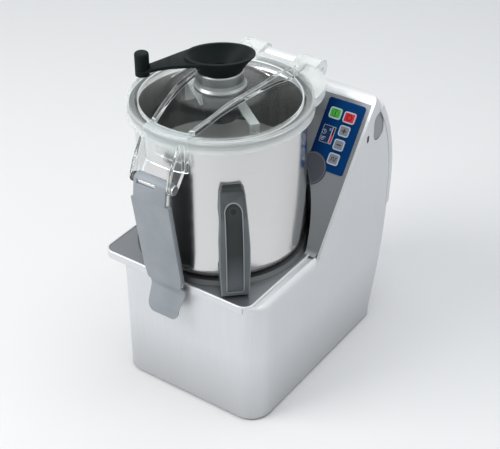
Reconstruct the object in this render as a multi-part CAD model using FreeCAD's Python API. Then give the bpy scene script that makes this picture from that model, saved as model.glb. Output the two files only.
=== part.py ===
import FreeCAD, Part
import math
import os

os.makedirs("parts", exist_ok=True)
V = FreeCAD.Vector

# Frame: the origin lies on the bowl's axis in the plane of the feet.
# X points to the right seen from the latch side, Y to the rear, Z up. Millimetres.

# Clearances and reach of cutting spaces
running_gap = 0.06
side_gap = 0.4
past = 1.0
far = 700.0

# Base
deck_height = 203.0
sheet = 2.0
shell_bottom = 3.0
shoulder = 15.0
corner_front = 33.0
corner_rear = 22.0
split_round = 1.0
front_gap = 1.5
left_overhang = 23.0
foot_radius = 13.0
foot_taper = 1.5
foot_inset = 30.0

# Tray around the bowl
tray_inset_left = 4.5
tray_reach_right = 5.5
tray_overhang = 0.4
tray_corner = 16.0
tray_corner_inner = 3.0
tray_corner_rear = 70.0
tray_short_rear = 13.5
rim_width = 2.5
rim_rise = 0.8
rim_round = 1.1
lip_height = 11.0
lip_wall = 2.1

# Tower
tower_drop = 25.0
tower_depth = 115.5
tower_root = 70.0
face_reach = 45.98
face_tilt = 36.67
face_edge_round = 16.0
face_foot_round = 14.0
face_band = 6.0
cheek_width = 4.5
cheek_top = 9.0
recess_gap = 7.5
rear_steps_low = ((0.0, -45.0), (48.0, -32.0), (101.0, -17.0), (184.0, -4.0), (240.0, 0.0))
rear_steps_top = ((96.0, -6.0), (48.0, -23.0), (18.0, -41.0), (0.0, -57.0))

# Openings and small parts of the housing
vent_left = -46.0
vent_right = 94.0
vent_above_deck = 12.0
vent_below_top = 58.0
slot_y = 151.6
slot_half = 3.0
slot_drop = 56.5
cap_y = 181.0
cap_drop = 48.0
cap_half_width = 14.0
cap_half_height = 22.0
cap_depth = 2.6
gland_x = 24.0
gland_height = 60.0
gland_bore = 4.5
gland_sleeve = 9.0
gland_collar = 14.0
gland_inside = 8.0
gland_outside = 18.0
gland_collar_length = 8.0
cover_thickness = 5.5
cover_below_deck = 12.0
cover_below_top = 21.0
cover_slot_rows = 8
cover_slot_pitch = 11.0
cover_slot_height = 4.5
cover_slot_start = 29.0
cover_slot_inset = 10.0
cover_screw_radius = 4.0
cover_screw_head = 3.0
cover_screw_seat = 1.2
cover_screw_inset = 18.0
cover_screw_low = 14.0
cover_screw_high = 20.0

# Bowl and its seat
bowl_radius = 118.0
bowl_height = 211.0
bowl_wall = 1.6
bowl_bottom_round = 16.0
rim_overhang = 6.0
rim_band = 2.0
rim_flare = 3.0
rim_land = 1.0
tube_radius = 17.5
tube_height = 55.0
tube_flange = 6.0
tube_flange_height = 1.2
seat_height = 4.0
seat_rim_height = 5.5
seat_rim_inner = 14.5
seat_hole = 60.0

# Bowl handle
handle_angle = -48.0
handle_width = 41.0
handle_width_top = 33.0
handle_foot_width = 37.0
handle_reach = 37.0
handle_overlap = 4.0
handle_lift = 3.0
handle_drop = 52.0
finger_reach = 21.0
finger_low = 30.0
finger_high = 44.0
channel_half = 11.0
channel_depth = 3.0
channel_lip = 1.2
channel_low = 8.0
channel_drop = 20.0
handle_screw_radius = 4.5
handle_screw_drop = 34.0
handle_foot_chamfer = 3.0
handle_foot_straight = 22.0
handle_bow_start = 81.0
handle_bow_drop = 41.0
handle_bow_in = 6.0
handle_shoulder_drop = 4.0
handle_shoulder_in = 27.0
handle_side_rounds = (0, 3, 20, 30, 40, 12, 0)
handle_waist_low = 44.0
handle_waist_drop = 76.0
handle_trim = 6.0
handle_trim_top = 2.0
handle_front_rounds = (0, 0, 20, 20, 14, 14, 20, 20)
finger_rounds = (0, 9, 9, 0)
channel_start = 2.0
channel_foot_round = 2.0
channel_head_gap = 0.1
handle_screw_in = 13.0
handle_screw_length = 14.0
handle_screw_lean = 0.35
handle_seat_gap = 0.5

# Lid
lid_sheet = 3.5
lid_clearance = 0.5
lid_rise = 14.0
lid_skirt = 14.0
lid_skirt_extra = 4.0
gasket_height = 4.0
annulus = 17.0
dome_rise = 15.0
dome_knee = 40.0
dome_knee_drop = 6.0
dome_hole = 36.0
hinge_setback = 24.0
hinge_rise = 6.0
hinge_pin_radius = 4.0
lug_radius = 14.0
lug_inner = 28.0
lug_outer = 66.0
barrel_radius = 10.0
plan_setback = 11.0
plan_shoulder_x = 29.0
plan_shoulder_y = 20.0
rib_width = 6.0
rib_rise = 21.0
rib_front = 28.0
rib_middle = 44.0
rib_rear = 47.0
rib_middle_y = -32.0
lid_edge = 2.0
dome_step = 1.5
lug_root = 2.0
lug_overlap = 4.0
lug_slope = 5.0
lug_notch = 4.5
rib_root = 5.0
rib_front_gap = 10.0
rib_rear_gap = 17.0
rib_tail = 5.0
rib_sink = 4.0
rib_nose = 6.0
rib_crown_rounds = (0, 0, 0, 60, 90, 8, 0)
rib_bury = 2.0
rib_neck_gap = 1.5

# Front strap of the lid
strap_half = 35.0
strap_drop = 34.0
strap_rise = 2.5
strap_band = 3.0
flange_thickness = 6.0
flange_gap = 1.0
pin_head = 6.5
pin_head_height = 2.0
strap_edge = 2.0
flange_root = 1.0
flange_top = 6.0
flange_throat = 16.0
flange_back = 6.0
flange_toe_drop = 8.0
flange_toe = 8.0
flange_toe_low = 6.0
flange_nose = 9.0
flange_nose_rise = 6.0
flange_brow = 2.0
flange_brow_rise = 30.0
flange_crown = 7.0
flange_rounds = (0, 10, 8, 8, 10, 30, 4)

# Neck, crank and scraper
neck_radius = 32.5
neck_bead = 36.0
neck_lip = 2.5
neck_rise = 25.0
neck_spigot_gap = 0.1
neck_spigot_low = 0.5
neck_bead_height = 3.0
neck_waist_height = 6.5
neck_waist = 1.0
neck_straight_height = 11.0
neck_chamfer = 1.5
bracket_front = 3.0
bracket_seat = 7.0
bracket_rise = 3.0
bracket_top = 2.0
bracket_rounds = (0, 0, 0, 8, 0, 0)
crank_neck = 26.0
feed_radius = 17.0
funnel_rise = 21.0
funnel_foot = 31.0
funnel_long = 47.5
funnel_wide = 34.0
funnel_wall = 3.5
funnel_band = 2.0
funnel_step = 4.0
funnel_step_height = 6.0
scoop_foot_long = 1.0
scoop_foot_wide = 2.0
scoop_foot_drop = 4.0
scoop_long = 9.0
scoop_wide = 6.0
scoop_height = 6.0
crank_reach = 103.0
crank_angle = 219.4
arm_thickness = 5.0
arm_places = (0.0, 0.29, 0.58, 0.87, 1.0)
arm_half_widths = (34.0, 27.0, 16.8, 9.7, 9.4)
arm_drops = (0.0, 1.4, 6.2, 13.6, 18.0)
grip_radius = 9.8
grip_height = 33.0
grip_round = 3.5
grip_pin = 3.0
grip_cover = 8.0
pad_height = 8.0
scraper_hub_radius = 25.0
scraper_hub_height = 38.0
scraper_drop = 34.0
scraper_angle = -37.0
scraper_near = 17.0
scraper_far = 29.0
scraper_reach = 78.0
scraper_sheet = 4.0
scraper_below_lid = 8.0
scraper_hub_chamfer = 3.0
scraper_hub_chamfer_height = 8.0

# Latch
latch_x = 2.0
latch_out = 20.5
latch_drop = 60.0
latch_barrel = 9.0
latch_barrel_half = 26.0
latch_half = 31.0
latch_pin = 3.0
lever_sheet = 3.5
lever_knee = 21.0
lever_knee_out = 3.0
lever_below_deck = 1.0
lever_foot_half = 28.0
lever_taper_height = 24.0
lever_shoulder = 24.0
lever_wall = 3.0
lever_wall_depth = 7.0
lever_slot_left = 21.0
lever_slot_right = 9.0
lever_slot_half = 3.2
pivot_out = 9.1
pivot_above_deck = 3.0
pivot_radius = 2.0
pivot_barrel = 3.2
pivot_gap = 0.35
ear_wall = 1.6
paddle_half = 24.0
paddle_length = 54.0
paddle_sheet = 3.0
paddle_tuck = 4.1
paddle_bend = 17.0
paddle_knee = 39.0
paddle_knee_out = 18.1
paddle_end_out = 20.1
paddle_corner = 11.0
hook_gap = 4.0
hook_bite = 1.8
hook_half = 12.0
hook_height = 3.0
lever_front_out = 5.0
lever_back_knee = 0.2
lever_back_top = 4.0
lever_plate_rounds = (0, 14, 0, 0, 10, 0)
lever_wall_front = 2.2
lever_ear_low = 1.0
lever_ear_high = 8.0
lever_wall_waist = 3.4
lever_wall_waist_rise = 26.0
lever_wall_top = 2.0
lever_wall_rounds = (0, 0, 2, 4, 20, 0)
lever_front_rounds = (0, 0, 3, 10, 6, 6, 10, 3, 0, 0)
paddle_root_in = 0.5
paddle_slope_in = 4.9
paddle_lean = 0.9
paddle_side_out = 1.0
paddle_neck_low = 3.0
paddle_shoulder_low = 6.0
paddle_side_rounds = (0, 6, 9, 0, 0, 6, 9, 0)
paddle_shoulder_round = 6.0
hook_root = 1.0
catch_height = 17.0

# Control panel; distances run up the sloping face, from the panel's top edge downward
panel_top_gap = 16.4
panel_height = 103.0
panel_width = 60.0
panel_edge_gap = 10.5
panel_thickness = 1.0
panel_corner = 4.0
badge_from_right = 50.5
badge_from_top = 105.5
badge_radius = 24.0
badge_thickness = 1.4
key_low = 0.9
key_high = 2.2
key_gap = 0.35
key_corner = 3.5
key_stem = 3.0
key_stem_depth = 6.0
key_stem_gap = 0.4
keys = {
    "key_start": (42.4, 20.7, 19.5, 16.5),
    "key_stop": (19.2, 21.3, 19.5, 16.5),
    "key_plus": (20.0, 41.5, 17.0, 16.0),
    "key_minus": (20.6, 62.3, 17.0, 16.0),
    "key_pulse": (21.1, 83.5, 18.0, 17.0),
}
window_from_right = 43.5
window_from_top = 52.5
window_width = 22.0
window_height = 27.0
window_corner = 1.5
window_gap = 0.1
board_thickness = 1.6
board_depth = 11.4
board_post = 3.0

# Drive
shaft_radius = 8.0
shaft_above_deck = 83.0
shaft_below_motor = 6.0
motor_radius = 68.0
motor_wall = 4.0
motor_bottom = 26.0
mount_drop = 17.0
mount_flange = 10.0
mount_plate = 5.0
collar_radius = 14.5
collar_rise = 22.0
seal_height = 3.0
stator_inner = 42.0
stator_inset = 36.0
armature_inset = 4.0
armature_gap = 1.0
fan_radius = 56.0
fan_hub = 26.0
fan_vanes = 8
fan_vane = 12.0
hub_radius = 24.0
hub_collar = 4.0
hub_nose = 12.0
hub_nose_height = 6.0
hub_bore_gap = 1.2
hub_lift = 4.0
blade_sheet = 2.2
blade_edge_gap = 12.0
blade_ring = 7.0
blade_low = 1.5
blade_high = 34.0
blade_curve = 95.0
blade_width = 9.0
shaft_clearance = 1.5
fan_vane_start = 6.0
blade_centre_x = 58.0
blade_centre_y = -62.0
blade_inner_x = 2.0
blade_inner_y = -14.0
blade_low_angle = 20.0
blade_high_angle = 110.0
hub_band = 8.0
hub_slope = 12.0
hub_taper = 26.0
hub_taper_out = 4.0

# Places worked out from the sizes above
slope = math.tan(math.radians(face_tilt))
tilt = math.radians(face_tilt)
seat_top = deck_height + seat_height
rim_height = seat_top + bowl_height
rim_radius = bowl_radius + rim_overhang
recess_radius = bowl_radius + recess_gap
tube_top = seat_top + tube_height
body_front = -recess_radius - front_gap
tray_left = tray_inset_left - recess_radius
tray_right = recess_radius + tray_reach_right
tray_front = body_front - tray_overhang
tray_rear = recess_radius - tray_short_rear
body_left = tray_left + left_overhang
body_right = tray_right + shoulder
tower_top = rim_height - tower_drop
rear_line = recess_radius + tower_depth
face_top = recess_radius + face_reach
face_start = face_top - (tower_top - deck_height) * slope
rear_profile = [(z, rear_line + step) for z, step in rear_steps_low]
rear_profile += [(tower_top - drop, rear_line + step) for drop, step in rear_steps_top]
lid_radius = rim_radius + lid_clearance + lid_sheet
lid_top = rim_height + lid_rise
lid_under = rim_height + gasket_height
dome_radius = lid_radius - annulus
dome_top = lid_top + dome_rise
hinge_y = lid_radius + hinge_setback
hinge_z = rim_height + hinge_rise
neck_hole = neck_radius - neck_lip
neck_top = dome_top + neck_rise
funnel_top = neck_top + funnel_rise
pad_top = funnel_top - arm_drops[-1]
latch_y = -lid_radius - lid_sheet - latch_out
latch_z = lid_top - latch_drop
pivot_y = tray_front - pivot_out
pivot_z = deck_height + pivot_above_deck
lever_bottom = deck_height - lever_below_deck
hook_top = deck_height - lip_height - hook_gap
panel_right = body_right - panel_edge_gap
panel_left = panel_right - panel_width
face_length = (tower_top - deck_height) / math.cos(tilt)
panel_high = face_length - panel_top_gap
panel_low = panel_high - panel_height
mount_height = deck_height - mount_drop
shaft_top = deck_height + shaft_above_deck
hub_low = seat_top + bowl_wall + hub_lift


def box(x0, x1, y0, y1, z0, z1):
    return Part.makeBox(x1 - x0, y1 - y0, z1 - z0, V(x0, y0, z0))


def space(x0=-far, x1=far, y0=-far, y1=far, z0=-far, z1=far):
    """Cutting block; a side that isn't given lies outside the part."""
    return box(x0, x1, y0, y1, z0, z1)


def rod(radius, z0, z1, x=0.0, y=0.0):
    return Part.makeCylinder(radius, z1 - z0, V(x, y, z0))


def bore_z(radius, z0=-far, z1=far):
    return rod(radius, z0, z1)


def rod_x(radius, x0, x1, y, z):
    return Part.makeCylinder(radius, x1 - x0, V(x0, y, z), V(1, 0, 0))


def rounded_wire(x0, x1, y0, y1, z, radii):
    """Rounded rectangle; radii run front-left, front-right, rear-right, rear-left."""
    fl, fr, rr, rl = radii
    c = math.sqrt(0.5)
    pts = [V(x0 + fl, y0, z), V(x1 - fr, y0, z)]
    edges = [Part.makeLine(pts[0], pts[1])]
    mid = V(x1 - fr + fr * c, y0 + fr - fr * c, z)
    edges.append(Part.Arc(pts[1], mid, V(x1, y0 + fr, z)).toShape())
    edges.append(Part.makeLine(V(x1, y0 + fr, z), V(x1, y1 - rr, z)))
    mid = V(x1 - rr + rr * c, y1 - rr + rr * c, z)
    edges.append(Part.Arc(V(x1, y1 - rr, z), mid, V(x1 - rr, y1, z)).toShape())
    edges.append(Part.makeLine(V(x1 - rr, y1, z), V(x0 + rl, y1, z)))
    mid = V(x0 + rl - rl * c, y1 - rl + rl * c, z)
    edges.append(Part.Arc(V(x0 + rl, y1, z), mid, V(x0, y1 - rl, z)).toShape())
    edges.append(Part.makeLine(V(x0, y1 - rl, z), V(x0, y0 + fl, z)))
    mid = V(x0 + fl - fl * c, y0 + fl - fl * c, z)
    edges.append(Part.Arc(V(x0, y0 + fl, z), mid, pts[0]).toShape())
    return Part.Wire(edges)


def rounded_prism(x0, x1, y0, y1, z0, z1, radii):
    wire = rounded_wire(x0, x1, y0, y1, z0, radii)
    return Part.Face(wire).extrude(V(0, 0, z1 - z0))


def rounded_plate(x, y, width, height, z0, z1, radius):
    """Rounded block about a middle point."""
    a = width / 2
    b = height / 2
    return rounded_prism(x - a, x + a, y - b, y + b, z0, z1, [radius] * 4)


def turned(points):
    """Solid of revolution about Z from (radius, z) points."""
    pts = [V(r, 0, z) for r, z in points]
    wire = Part.makePolygon(pts + [pts[0]])
    return Part.Face(wire).revolve(V(0, 0, 0), V(0, 0, 1), 360)


def rounded_path(pts, rounds):
    """Closed wire through the corners with tangent arcs of the given radii."""
    count = len(pts)
    joints = []
    for i in range(count):
        before = pts[i - 1] - pts[i]
        after = pts[(i + 1) % count] - pts[i]
        radius = rounds[i]
        if radius <= 0:
            joints.append((pts[i], None, pts[i]))
            continue
        before.normalize()
        after.normalize()
        half = before.getAngle(after) / 2
        reach = radius / math.tan(half)
        middle = before + after
        middle.normalize()
        centre = pts[i] + middle * (radius / math.sin(half))
        top = centre - middle * radius
        joints.append((pts[i] + before * reach, top, pts[i] + after * reach))
    edges = []
    for i in range(count):
        start, top, end = joints[i]
        if top is not None:
            edges.append(Part.Arc(start, top, end).toShape())
        follow = joints[(i + 1) % count][0]
        if end.distanceToPoint(follow) > 1e-6:
            edges.append(Part.makeLine(end, follow))
    return Part.Wire(edges)


def profile_x(points, x0, x1, rounds=None):
    """Prism along X from (y, z) points; rounds gives a radius for each corner."""
    corners = [V(x0, y, z) for y, z in points]
    wire = rounded_path(corners, rounds or [0] * len(corners))
    return Part.Face(wire).extrude(V(x1 - x0, 0, 0))


def profile_y(points, y0, y1, rounds):
    """Prism along Y from (x, z) points."""
    wire = rounded_path([V(x, y0, z) for x, z in points], rounds)
    return Part.Face(wire).extrude(V(0, y1 - y0, 0))


def fuse(shapes):
    joined = shapes[0].multiFuse(shapes[1:])
    return joined.removeSplitter()


def largest(shape):
    solids = sorted(shape.Solids, key=lambda solid: solid.Volume)
    return solids[-1]


def turn_z(shape, angle):
    moved = shape.copy()
    moved.rotate(V(0, 0, 0), V(0, 0, 1), angle)
    return moved


def on_face(shape):
    """Places a shape drawn in x, up the slope, and out of the slope onto the sloping face."""
    matrix = FreeCAD.Matrix(
        1, 0, 0, 0,
        0, math.sin(tilt), -math.cos(tilt), face_start,
        0, math.cos(tilt), math.sin(tilt), deck_height,
        0, 0, 0, 1,
    )
    moved = shape.copy()
    moved.Placement = FreeCAD.Placement(matrix)
    return moved


def face_y(z):
    """Depth of the sloping face at a height."""
    return face_start + (z - deck_height) * slope


def rear_at(z):
    for (low, y0), (high, y1) in zip(rear_profile, rear_profile[1:]):
        if z <= high:
            return y0 + (y1 - y0) * (z - low) / (high - low)
    return rear_profile[-1][1]


def base_block(inset):
    """Front part of the housing with its rounded right shoulder."""
    steps = 4
    bottom = shell_bottom - inset
    right = body_right - inset
    left = body_left + inset
    front = body_front + inset
    rear = face_start + foot_inset
    radius = corner_front - inset
    top_right = tray_right - inset
    shoulder_low = deck_height - shoulder - inset
    inner_split = [split_round, split_round]
    wires = []
    for z in (bottom, shoulder_low):
        wires.append(rounded_wire(left, right, front, rear, z, [radius, radius] + inner_split))
    lower = Part.makeLoft(wires, True, True)
    wires = []
    for step in range(steps + 1):
        angle = math.radians(90.0 * step / steps)
        z = shoulder_low + shoulder * math.sin(angle)
        share = 1 - math.cos(angle)
        side = right + (top_right - right) * share
        corner = radius + (tray_corner - radius) * share
        wires.append(rounded_wire(left, side, front, rear, z, [radius, corner] + inner_split))
    upper = Part.makeLoft(wires, True, False)
    return lower.fuse(upper)


def tower_block(inset, extra=0.0):
    """Rear part of the housing: a leaning, rounded tower cut by the sloping face."""
    front = face_start - tower_root
    rear_round = corner_rear - inset
    wires = []
    for z, rear in rear_profile:
        radii = [split_round, split_round, rear_round, rear_round]
        back = rear - inset + extra
        wires.append(rounded_wire(body_left + inset, body_right - inset, front, back, z, radii))
    body = Part.makeLoft(wires, True, False)
    shift = inset / math.cos(tilt)
    top = tower_top - inset
    low = shell_bottom - inset
    corners = [
        (face_y(low) + shift, low),
        (face_y(top) + shift, top),
        (far, top),
        (far, low),
    ]
    keep = profile_x(corners, -far, far, [0, face_edge_round - inset, 0, 0])
    return body.common(keep)


def face_fillet():
    """Concave round between the deck and the sloping face."""
    half = (math.pi / 2 + tilt) / 2
    reach = face_foot_round / math.tan(half)
    corner = V(body_left + sheet, face_start, deck_height)
    first = V(0, -1, 0)
    second = V(0, math.sin(tilt), math.cos(tilt))
    middle = first + second
    middle.normalize()
    start = corner + first * reach
    end = corner + second * reach
    top = corner + middle * (face_foot_round / math.sin(half) - face_foot_round)
    wire = Part.Wire([
        Part.makeLine(start, corner),
        Part.makeLine(corner, end),
        Part.Arc(end, top, start).toShape(),
    ])
    return Part.Face(wire).extrude(V(body_right - body_left - 4 * sheet, 0, 0))


def envelope(inset):
    """Outside of base and tower together, with the hollow behind the bowl taken out."""
    whole = base_block(inset).fuse(tower_block(inset))
    return whole.cut(bore_z(recess_radius + inset, deck_height - inset))


def tray_plan(inset, z0, z1):
    """Outline of the tray, which overhangs the housing on the left."""
    corner = tray_corner - inset
    radii = (corner, corner, tray_corner_inner, tray_corner_rear - inset)
    return rounded_prism(
        tray_left + inset, tray_right - inset, tray_front + inset, tray_rear - inset, z0, z1, radii
    )


def tray_zone(inset):
    """Space that belongs to the tray and its sloping face rather than to the steel housing."""
    low = deck_height - sheet
    deck = tray_plan(inset, low, deck_height + 2 * sheet)
    high = tower_top - cheek_top
    face = space(body_left + cheek_width, body_right - cheek_width, face_start - shoulder, far, low, high)
    below = low - shoulder
    above = high + shoulder
    front_of_face = profile_x([
        (face_start - tower_root, below),
        (face_y(below) + face_band, below),
        (face_y(above) + face_band, above),
        (face_start - tower_root, above),
    ], body_left, body_right)
    wall = rod(recess_radius + sheet + lid_clearance, below, above)
    return deck.fuse(face.common(front_of_face.fuse(wall)))


def key_bores():
    bores = []
    for from_right, from_top, wide, high in keys.values():
        hole = rod(key_stem + key_stem_gap, -cover_slot_inset, sheet,
                   panel_right - from_right, panel_high - from_top)
        bores.append(on_face(hole))
    return bores


def upright_slot(x0, x1, y, z, half_width, half_height):
    """Slot with round ends, drawn upright in a plane across X."""
    corner = half_width * 0.95
    wire = rounded_wire(y - half_width, y + half_width, z - half_height, z + half_height, 0.0, [corner] * 4)
    solid = Part.Face(wire).extrude(V(0, 0, x1 - x0))
    matrix = FreeCAD.Matrix(0, 0, 1, x0, 1, 0, 0, 0, 0, 1, 0, 0, 0, 0, 0, 1)
    solid.Placement = FreeCAD.Placement(matrix)
    return solid


def side_oval(x, gap, depth):
    return upright_slot(x - depth, x + depth, cap_y, tower_top - cap_drop,
                        cap_half_width - gap, cap_half_height - gap)


def gland_rod(radius, start, end):
    wall = rear_at(gland_height)
    return Part.makeCylinder(radius, end - start, V(gland_x, wall + start, gland_height), V(0, 1, 0))


def build_housing(parts):
    outside = envelope(0.0)
    inside = envelope(sheet)
    sheet_metal = outside.cut(inside)
    low = deck_height - sheet
    inset = rim_width + running_gap
    plate = tray_plan(inset, low, deck_height).cut(inside)
    recess = bore_z(recess_radius, deck_height)
    face = sheet_metal.common(tray_zone(inset).cut(space(z1=deck_height)))
    tray = face.fuse(plate).fuse(face_fillet().cut(recess))
    shaft_hole = rod(collar_radius + past, deck_height - 2 * sheet, deck_height + sheet)
    tray = tray.cut(Part.makeCompound([shaft_hole] + key_bores()))
    parts["deck_tray"] = largest(tray.removeSplitter())
    build_rim(parts, outside)
    housing = sheet_metal.cut(tray_zone(0.0))
    vents = space(vent_left, vent_right, recess_radius + tower_root, far,
                  deck_height + vent_above_deck, tower_top - vent_below_top)
    slot = upright_slot(body_right - 2 * sheet, body_right + 2 * sheet, slot_y, tower_top - slot_drop,
                        slot_half, 2 * slot_half)
    ovals = [side_oval(body_right, 0.0, 2 * sheet), side_oval(body_left, 0.0, 2 * sheet)]
    gland = gland_rod(gland_sleeve + 0.5 * side_gap, -shoulder, gland_outside)
    catch = space(latch_x - hook_half - past, latch_x + hook_half + past, -far, body_front + 2 * sheet,
                  deck_height - lip_height - catch_height, deck_height - lip_height)
    housing = housing.cut(Part.makeCompound([vents, slot, gland, catch] + ovals))
    below_seam = space(z1=low)
    parts["housing_shell"] = largest(housing.common(below_seam).removeSplitter())
    parts["tower_shell"] = largest(housing.cut(below_seam).removeSplitter())


def build_rim(parts, outside):
    """Bright rim round the tray, which hangs down as a lip where the tray overhangs."""
    top = deck_height + rim_rise
    band = tray_plan(0.0, deck_height - sheet, top)
    upper_edges = [edge for edge in band.Edges if edge.BoundBox.ZMin > top - running_gap]
    band = band.makeFillet(rim_round, upper_edges)
    band = band.cut(tray_plan(rim_width, -far, far))
    lip_low = deck_height - lip_height
    lip = tray_plan(0.0, lip_low, deck_height - sheet)
    hollow = tray_plan(lip_wall, lip_low + sheet, deck_height - sheet)
    lip = lip.cut(hollow).cut(outside)
    rim = band.fuse(lip).cut(tower_block(0.0)).cut(bore_z(recess_radius, deck_height - sheet))
    rim = rim.cut(face_fillet())
    parts["deck_lip"] = largest(rim.removeSplitter())


def build_rear_cover(parts):
    band = space(body_left - past, body_right + past, cap_y - barrel_radius, far,
                 deck_height - cover_below_deck, tower_top - cover_below_top)
    cover = tower_block(0.0, cover_thickness).common(band).cut(tower_block(0.0))
    slots = []
    for row in range(cover_slot_rows):
        z = deck_height + cover_slot_start + row * cover_slot_pitch
        slots.append(space(vent_left + cover_slot_inset, vent_right - cover_slot_inset,
                           recess_radius + tower_root, far, z, z + cover_slot_height))
    cover = largest(cover.cut(Part.makeCompound(slots)).removeSplitter())
    parts["rear_cover"] = cover
    low = deck_height - cover_below_deck + cover_screw_low
    high = tower_top - cover_below_top - cover_screw_high
    index = 1
    for z in (low, high):
        for x in (body_left + cover_screw_inset, body_right - cover_screw_inset):
            seat = V(x, rear_at(z) + cover_thickness - cover_screw_seat, z)
            screw = Part.makeCylinder(cover_screw_radius, cover_screw_head, seat, V(0, 1, 0))
            parts["cover_screw_%d" % index] = largest(screw.cut(cover))
            index += 1


def build_underside(parts):
    gap = sheet + side_gap
    radii = [corner_front - sheet, corner_front - sheet, corner_rear, corner_rear]
    parts["base_plate"] = rounded_prism(
        body_left + gap, body_right - gap, body_front + gap, rear_at(shell_bottom) - gap,
        shell_bottom, shell_bottom + sheet, radii
    )
    sides = {"left": body_left + foot_inset, "right": body_right - foot_inset}
    ends = {"front": body_front + foot_inset, "rear": rear_at(0.0) - foot_inset}
    for end, y in ends.items():
        for side, x in sides.items():
            foot = Part.makeCone(foot_radius - foot_taper, foot_radius, shell_bottom, V(x, y, 0))
            parts["foot_%s_%s" % (end, side)] = foot


def build_side_fittings(parts):
    for name, x, inward in (("side_cap_right", body_right, -1), ("side_cap_left", body_left, 1)):
        cap = side_oval(x, side_gap, past)
        cap.translate(V(inward * cap_depth, 0, 0))
        parts[name] = cap
    wall = tower_block(0.0)
    collar = gland_rod(gland_collar, -cover_slot_inset, gland_collar_length).cut(wall)
    sleeve = gland_rod(gland_sleeve, -gland_inside, gland_outside)
    bore = gland_rod(gland_bore, -far, far)
    parts["cable_gland"] = fuse([largest(collar), sleeve]).cut(bore)


def build_bowl(parts):
    """Deep-drawn bowl: one profile turned about the axis, with the hub's tube let into its floor."""
    r = bowl_radius
    e = bowl_bottom_round
    w = bowl_wall
    z = seat_top
    c = math.sqrt(0.5)
    hole = tube_radius + running_gap
    low = V(r - e, 0, z)
    side = V(r, 0, z + e)
    inner_low = V(r - e, 0, z + w)
    inner_side = V(r - w, 0, z + e)
    bend = V(r - e + e * c, 0, z + e - e * c)
    inner_bend = V(r - e + (e - w) * c, 0, z + e - (e - w) * c)
    chain = [
        Part.makeLine(V(hole, 0, z), low),
        Part.Arc(low, bend, side).toShape(),
    ]
    rim = [
        side,
        V(r, 0, rim_height - rim_band - rim_flare),
        V(rim_radius, 0, rim_height - rim_band),
        V(rim_radius, 0, rim_height),
        V(r + rim_land, 0, rim_height),
        V(r - w, 0, rim_height - rim_flare - rim_land),
        inner_side,
    ]
    chain += [Part.makeLine(a, b) for a, b in zip(rim, rim[1:])]
    chain.append(Part.Arc(inner_side, inner_bend, inner_low).toShape())
    chain.append(Part.makeLine(inner_low, V(hole, 0, z + w)))
    chain.append(Part.makeLine(V(hole, 0, z + w), V(hole, 0, z)))
    parts["bowl"] = Part.Face(Part.Wire(chain)).revolve(V(0, 0, 0), V(0, 0, 1), 360)
    flange_top = z + w + tube_flange_height
    parts["bowl_tube"] = turned([
        (tube_radius - w, z),
        (tube_radius, z),
        (tube_radius, z + w),
        (tube_radius + tube_flange, z + w),
        (tube_radius + tube_flange, flange_top),
        (tube_radius, flange_top),
        (tube_radius, tube_top),
        (tube_radius - w, tube_top),
    ])
    seat_edge = recess_radius - past
    parts["bowl_seat"] = turned([
        (seat_hole, deck_height),
        (seat_edge, deck_height),
        (seat_edge - seat_rim_height + past, deck_height + seat_rim_height),
        (recess_radius - seat_rim_inner, deck_height + seat_rim_height),
        (recess_radius - seat_rim_inner - sheet, seat_top),
        (seat_hole, seat_top),
    ])


def side_profile(points, rounds, half_width):
    """Prism across the radial plane from (radius, z) points."""
    return profile_y(points, -half_width, half_width, rounds)


def handle_side(depth):
    """The handle's bowed outline, seen from the side, with its outer edge set back by a depth."""
    root = bowl_radius - handle_overlap
    outer = bowl_radius + handle_reach - depth
    foot = deck_height + handle_lift
    top = rim_height - handle_drop
    return side_profile([
        (root, foot),
        (outer - handle_foot_chamfer, foot),
        (outer, foot + handle_foot_straight),
        (outer, top - handle_bow_start),
        (outer - handle_bow_in, top - handle_bow_drop),
        (outer - handle_shoulder_in, top - handle_shoulder_drop),
        (root, top),
    ], handle_side_rounds, handle_width)


def handle_front():
    """The handle's outline seen from outside: narrow at the foot and narrower at the top."""
    foot = deck_height + handle_lift
    top = rim_height - handle_drop
    waist_low = foot + handle_waist_low
    waist_high = top - handle_waist_drop
    x = bowl_radius / 2
    outline = []
    outline.append(V(x, -handle_foot_width / 2, foot - handle_trim))
    outline.append(V(x, handle_foot_width / 2, foot - handle_trim))
    outline.append(V(x, handle_width / 2, waist_low))
    outline.append(V(x, handle_width / 2, waist_high))
    outline.append(V(x, handle_width_top / 2, top + handle_trim_top))
    outline.append(V(x, -handle_width_top / 2, top + handle_trim_top))
    outline.append(V(x, -handle_width / 2, waist_high))
    outline.append(V(x, -handle_width / 2, waist_low))
    wire = rounded_path(outline, handle_front_rounds)
    return Part.Face(wire).extrude(V(recess_radius, 0, 0))


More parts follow.
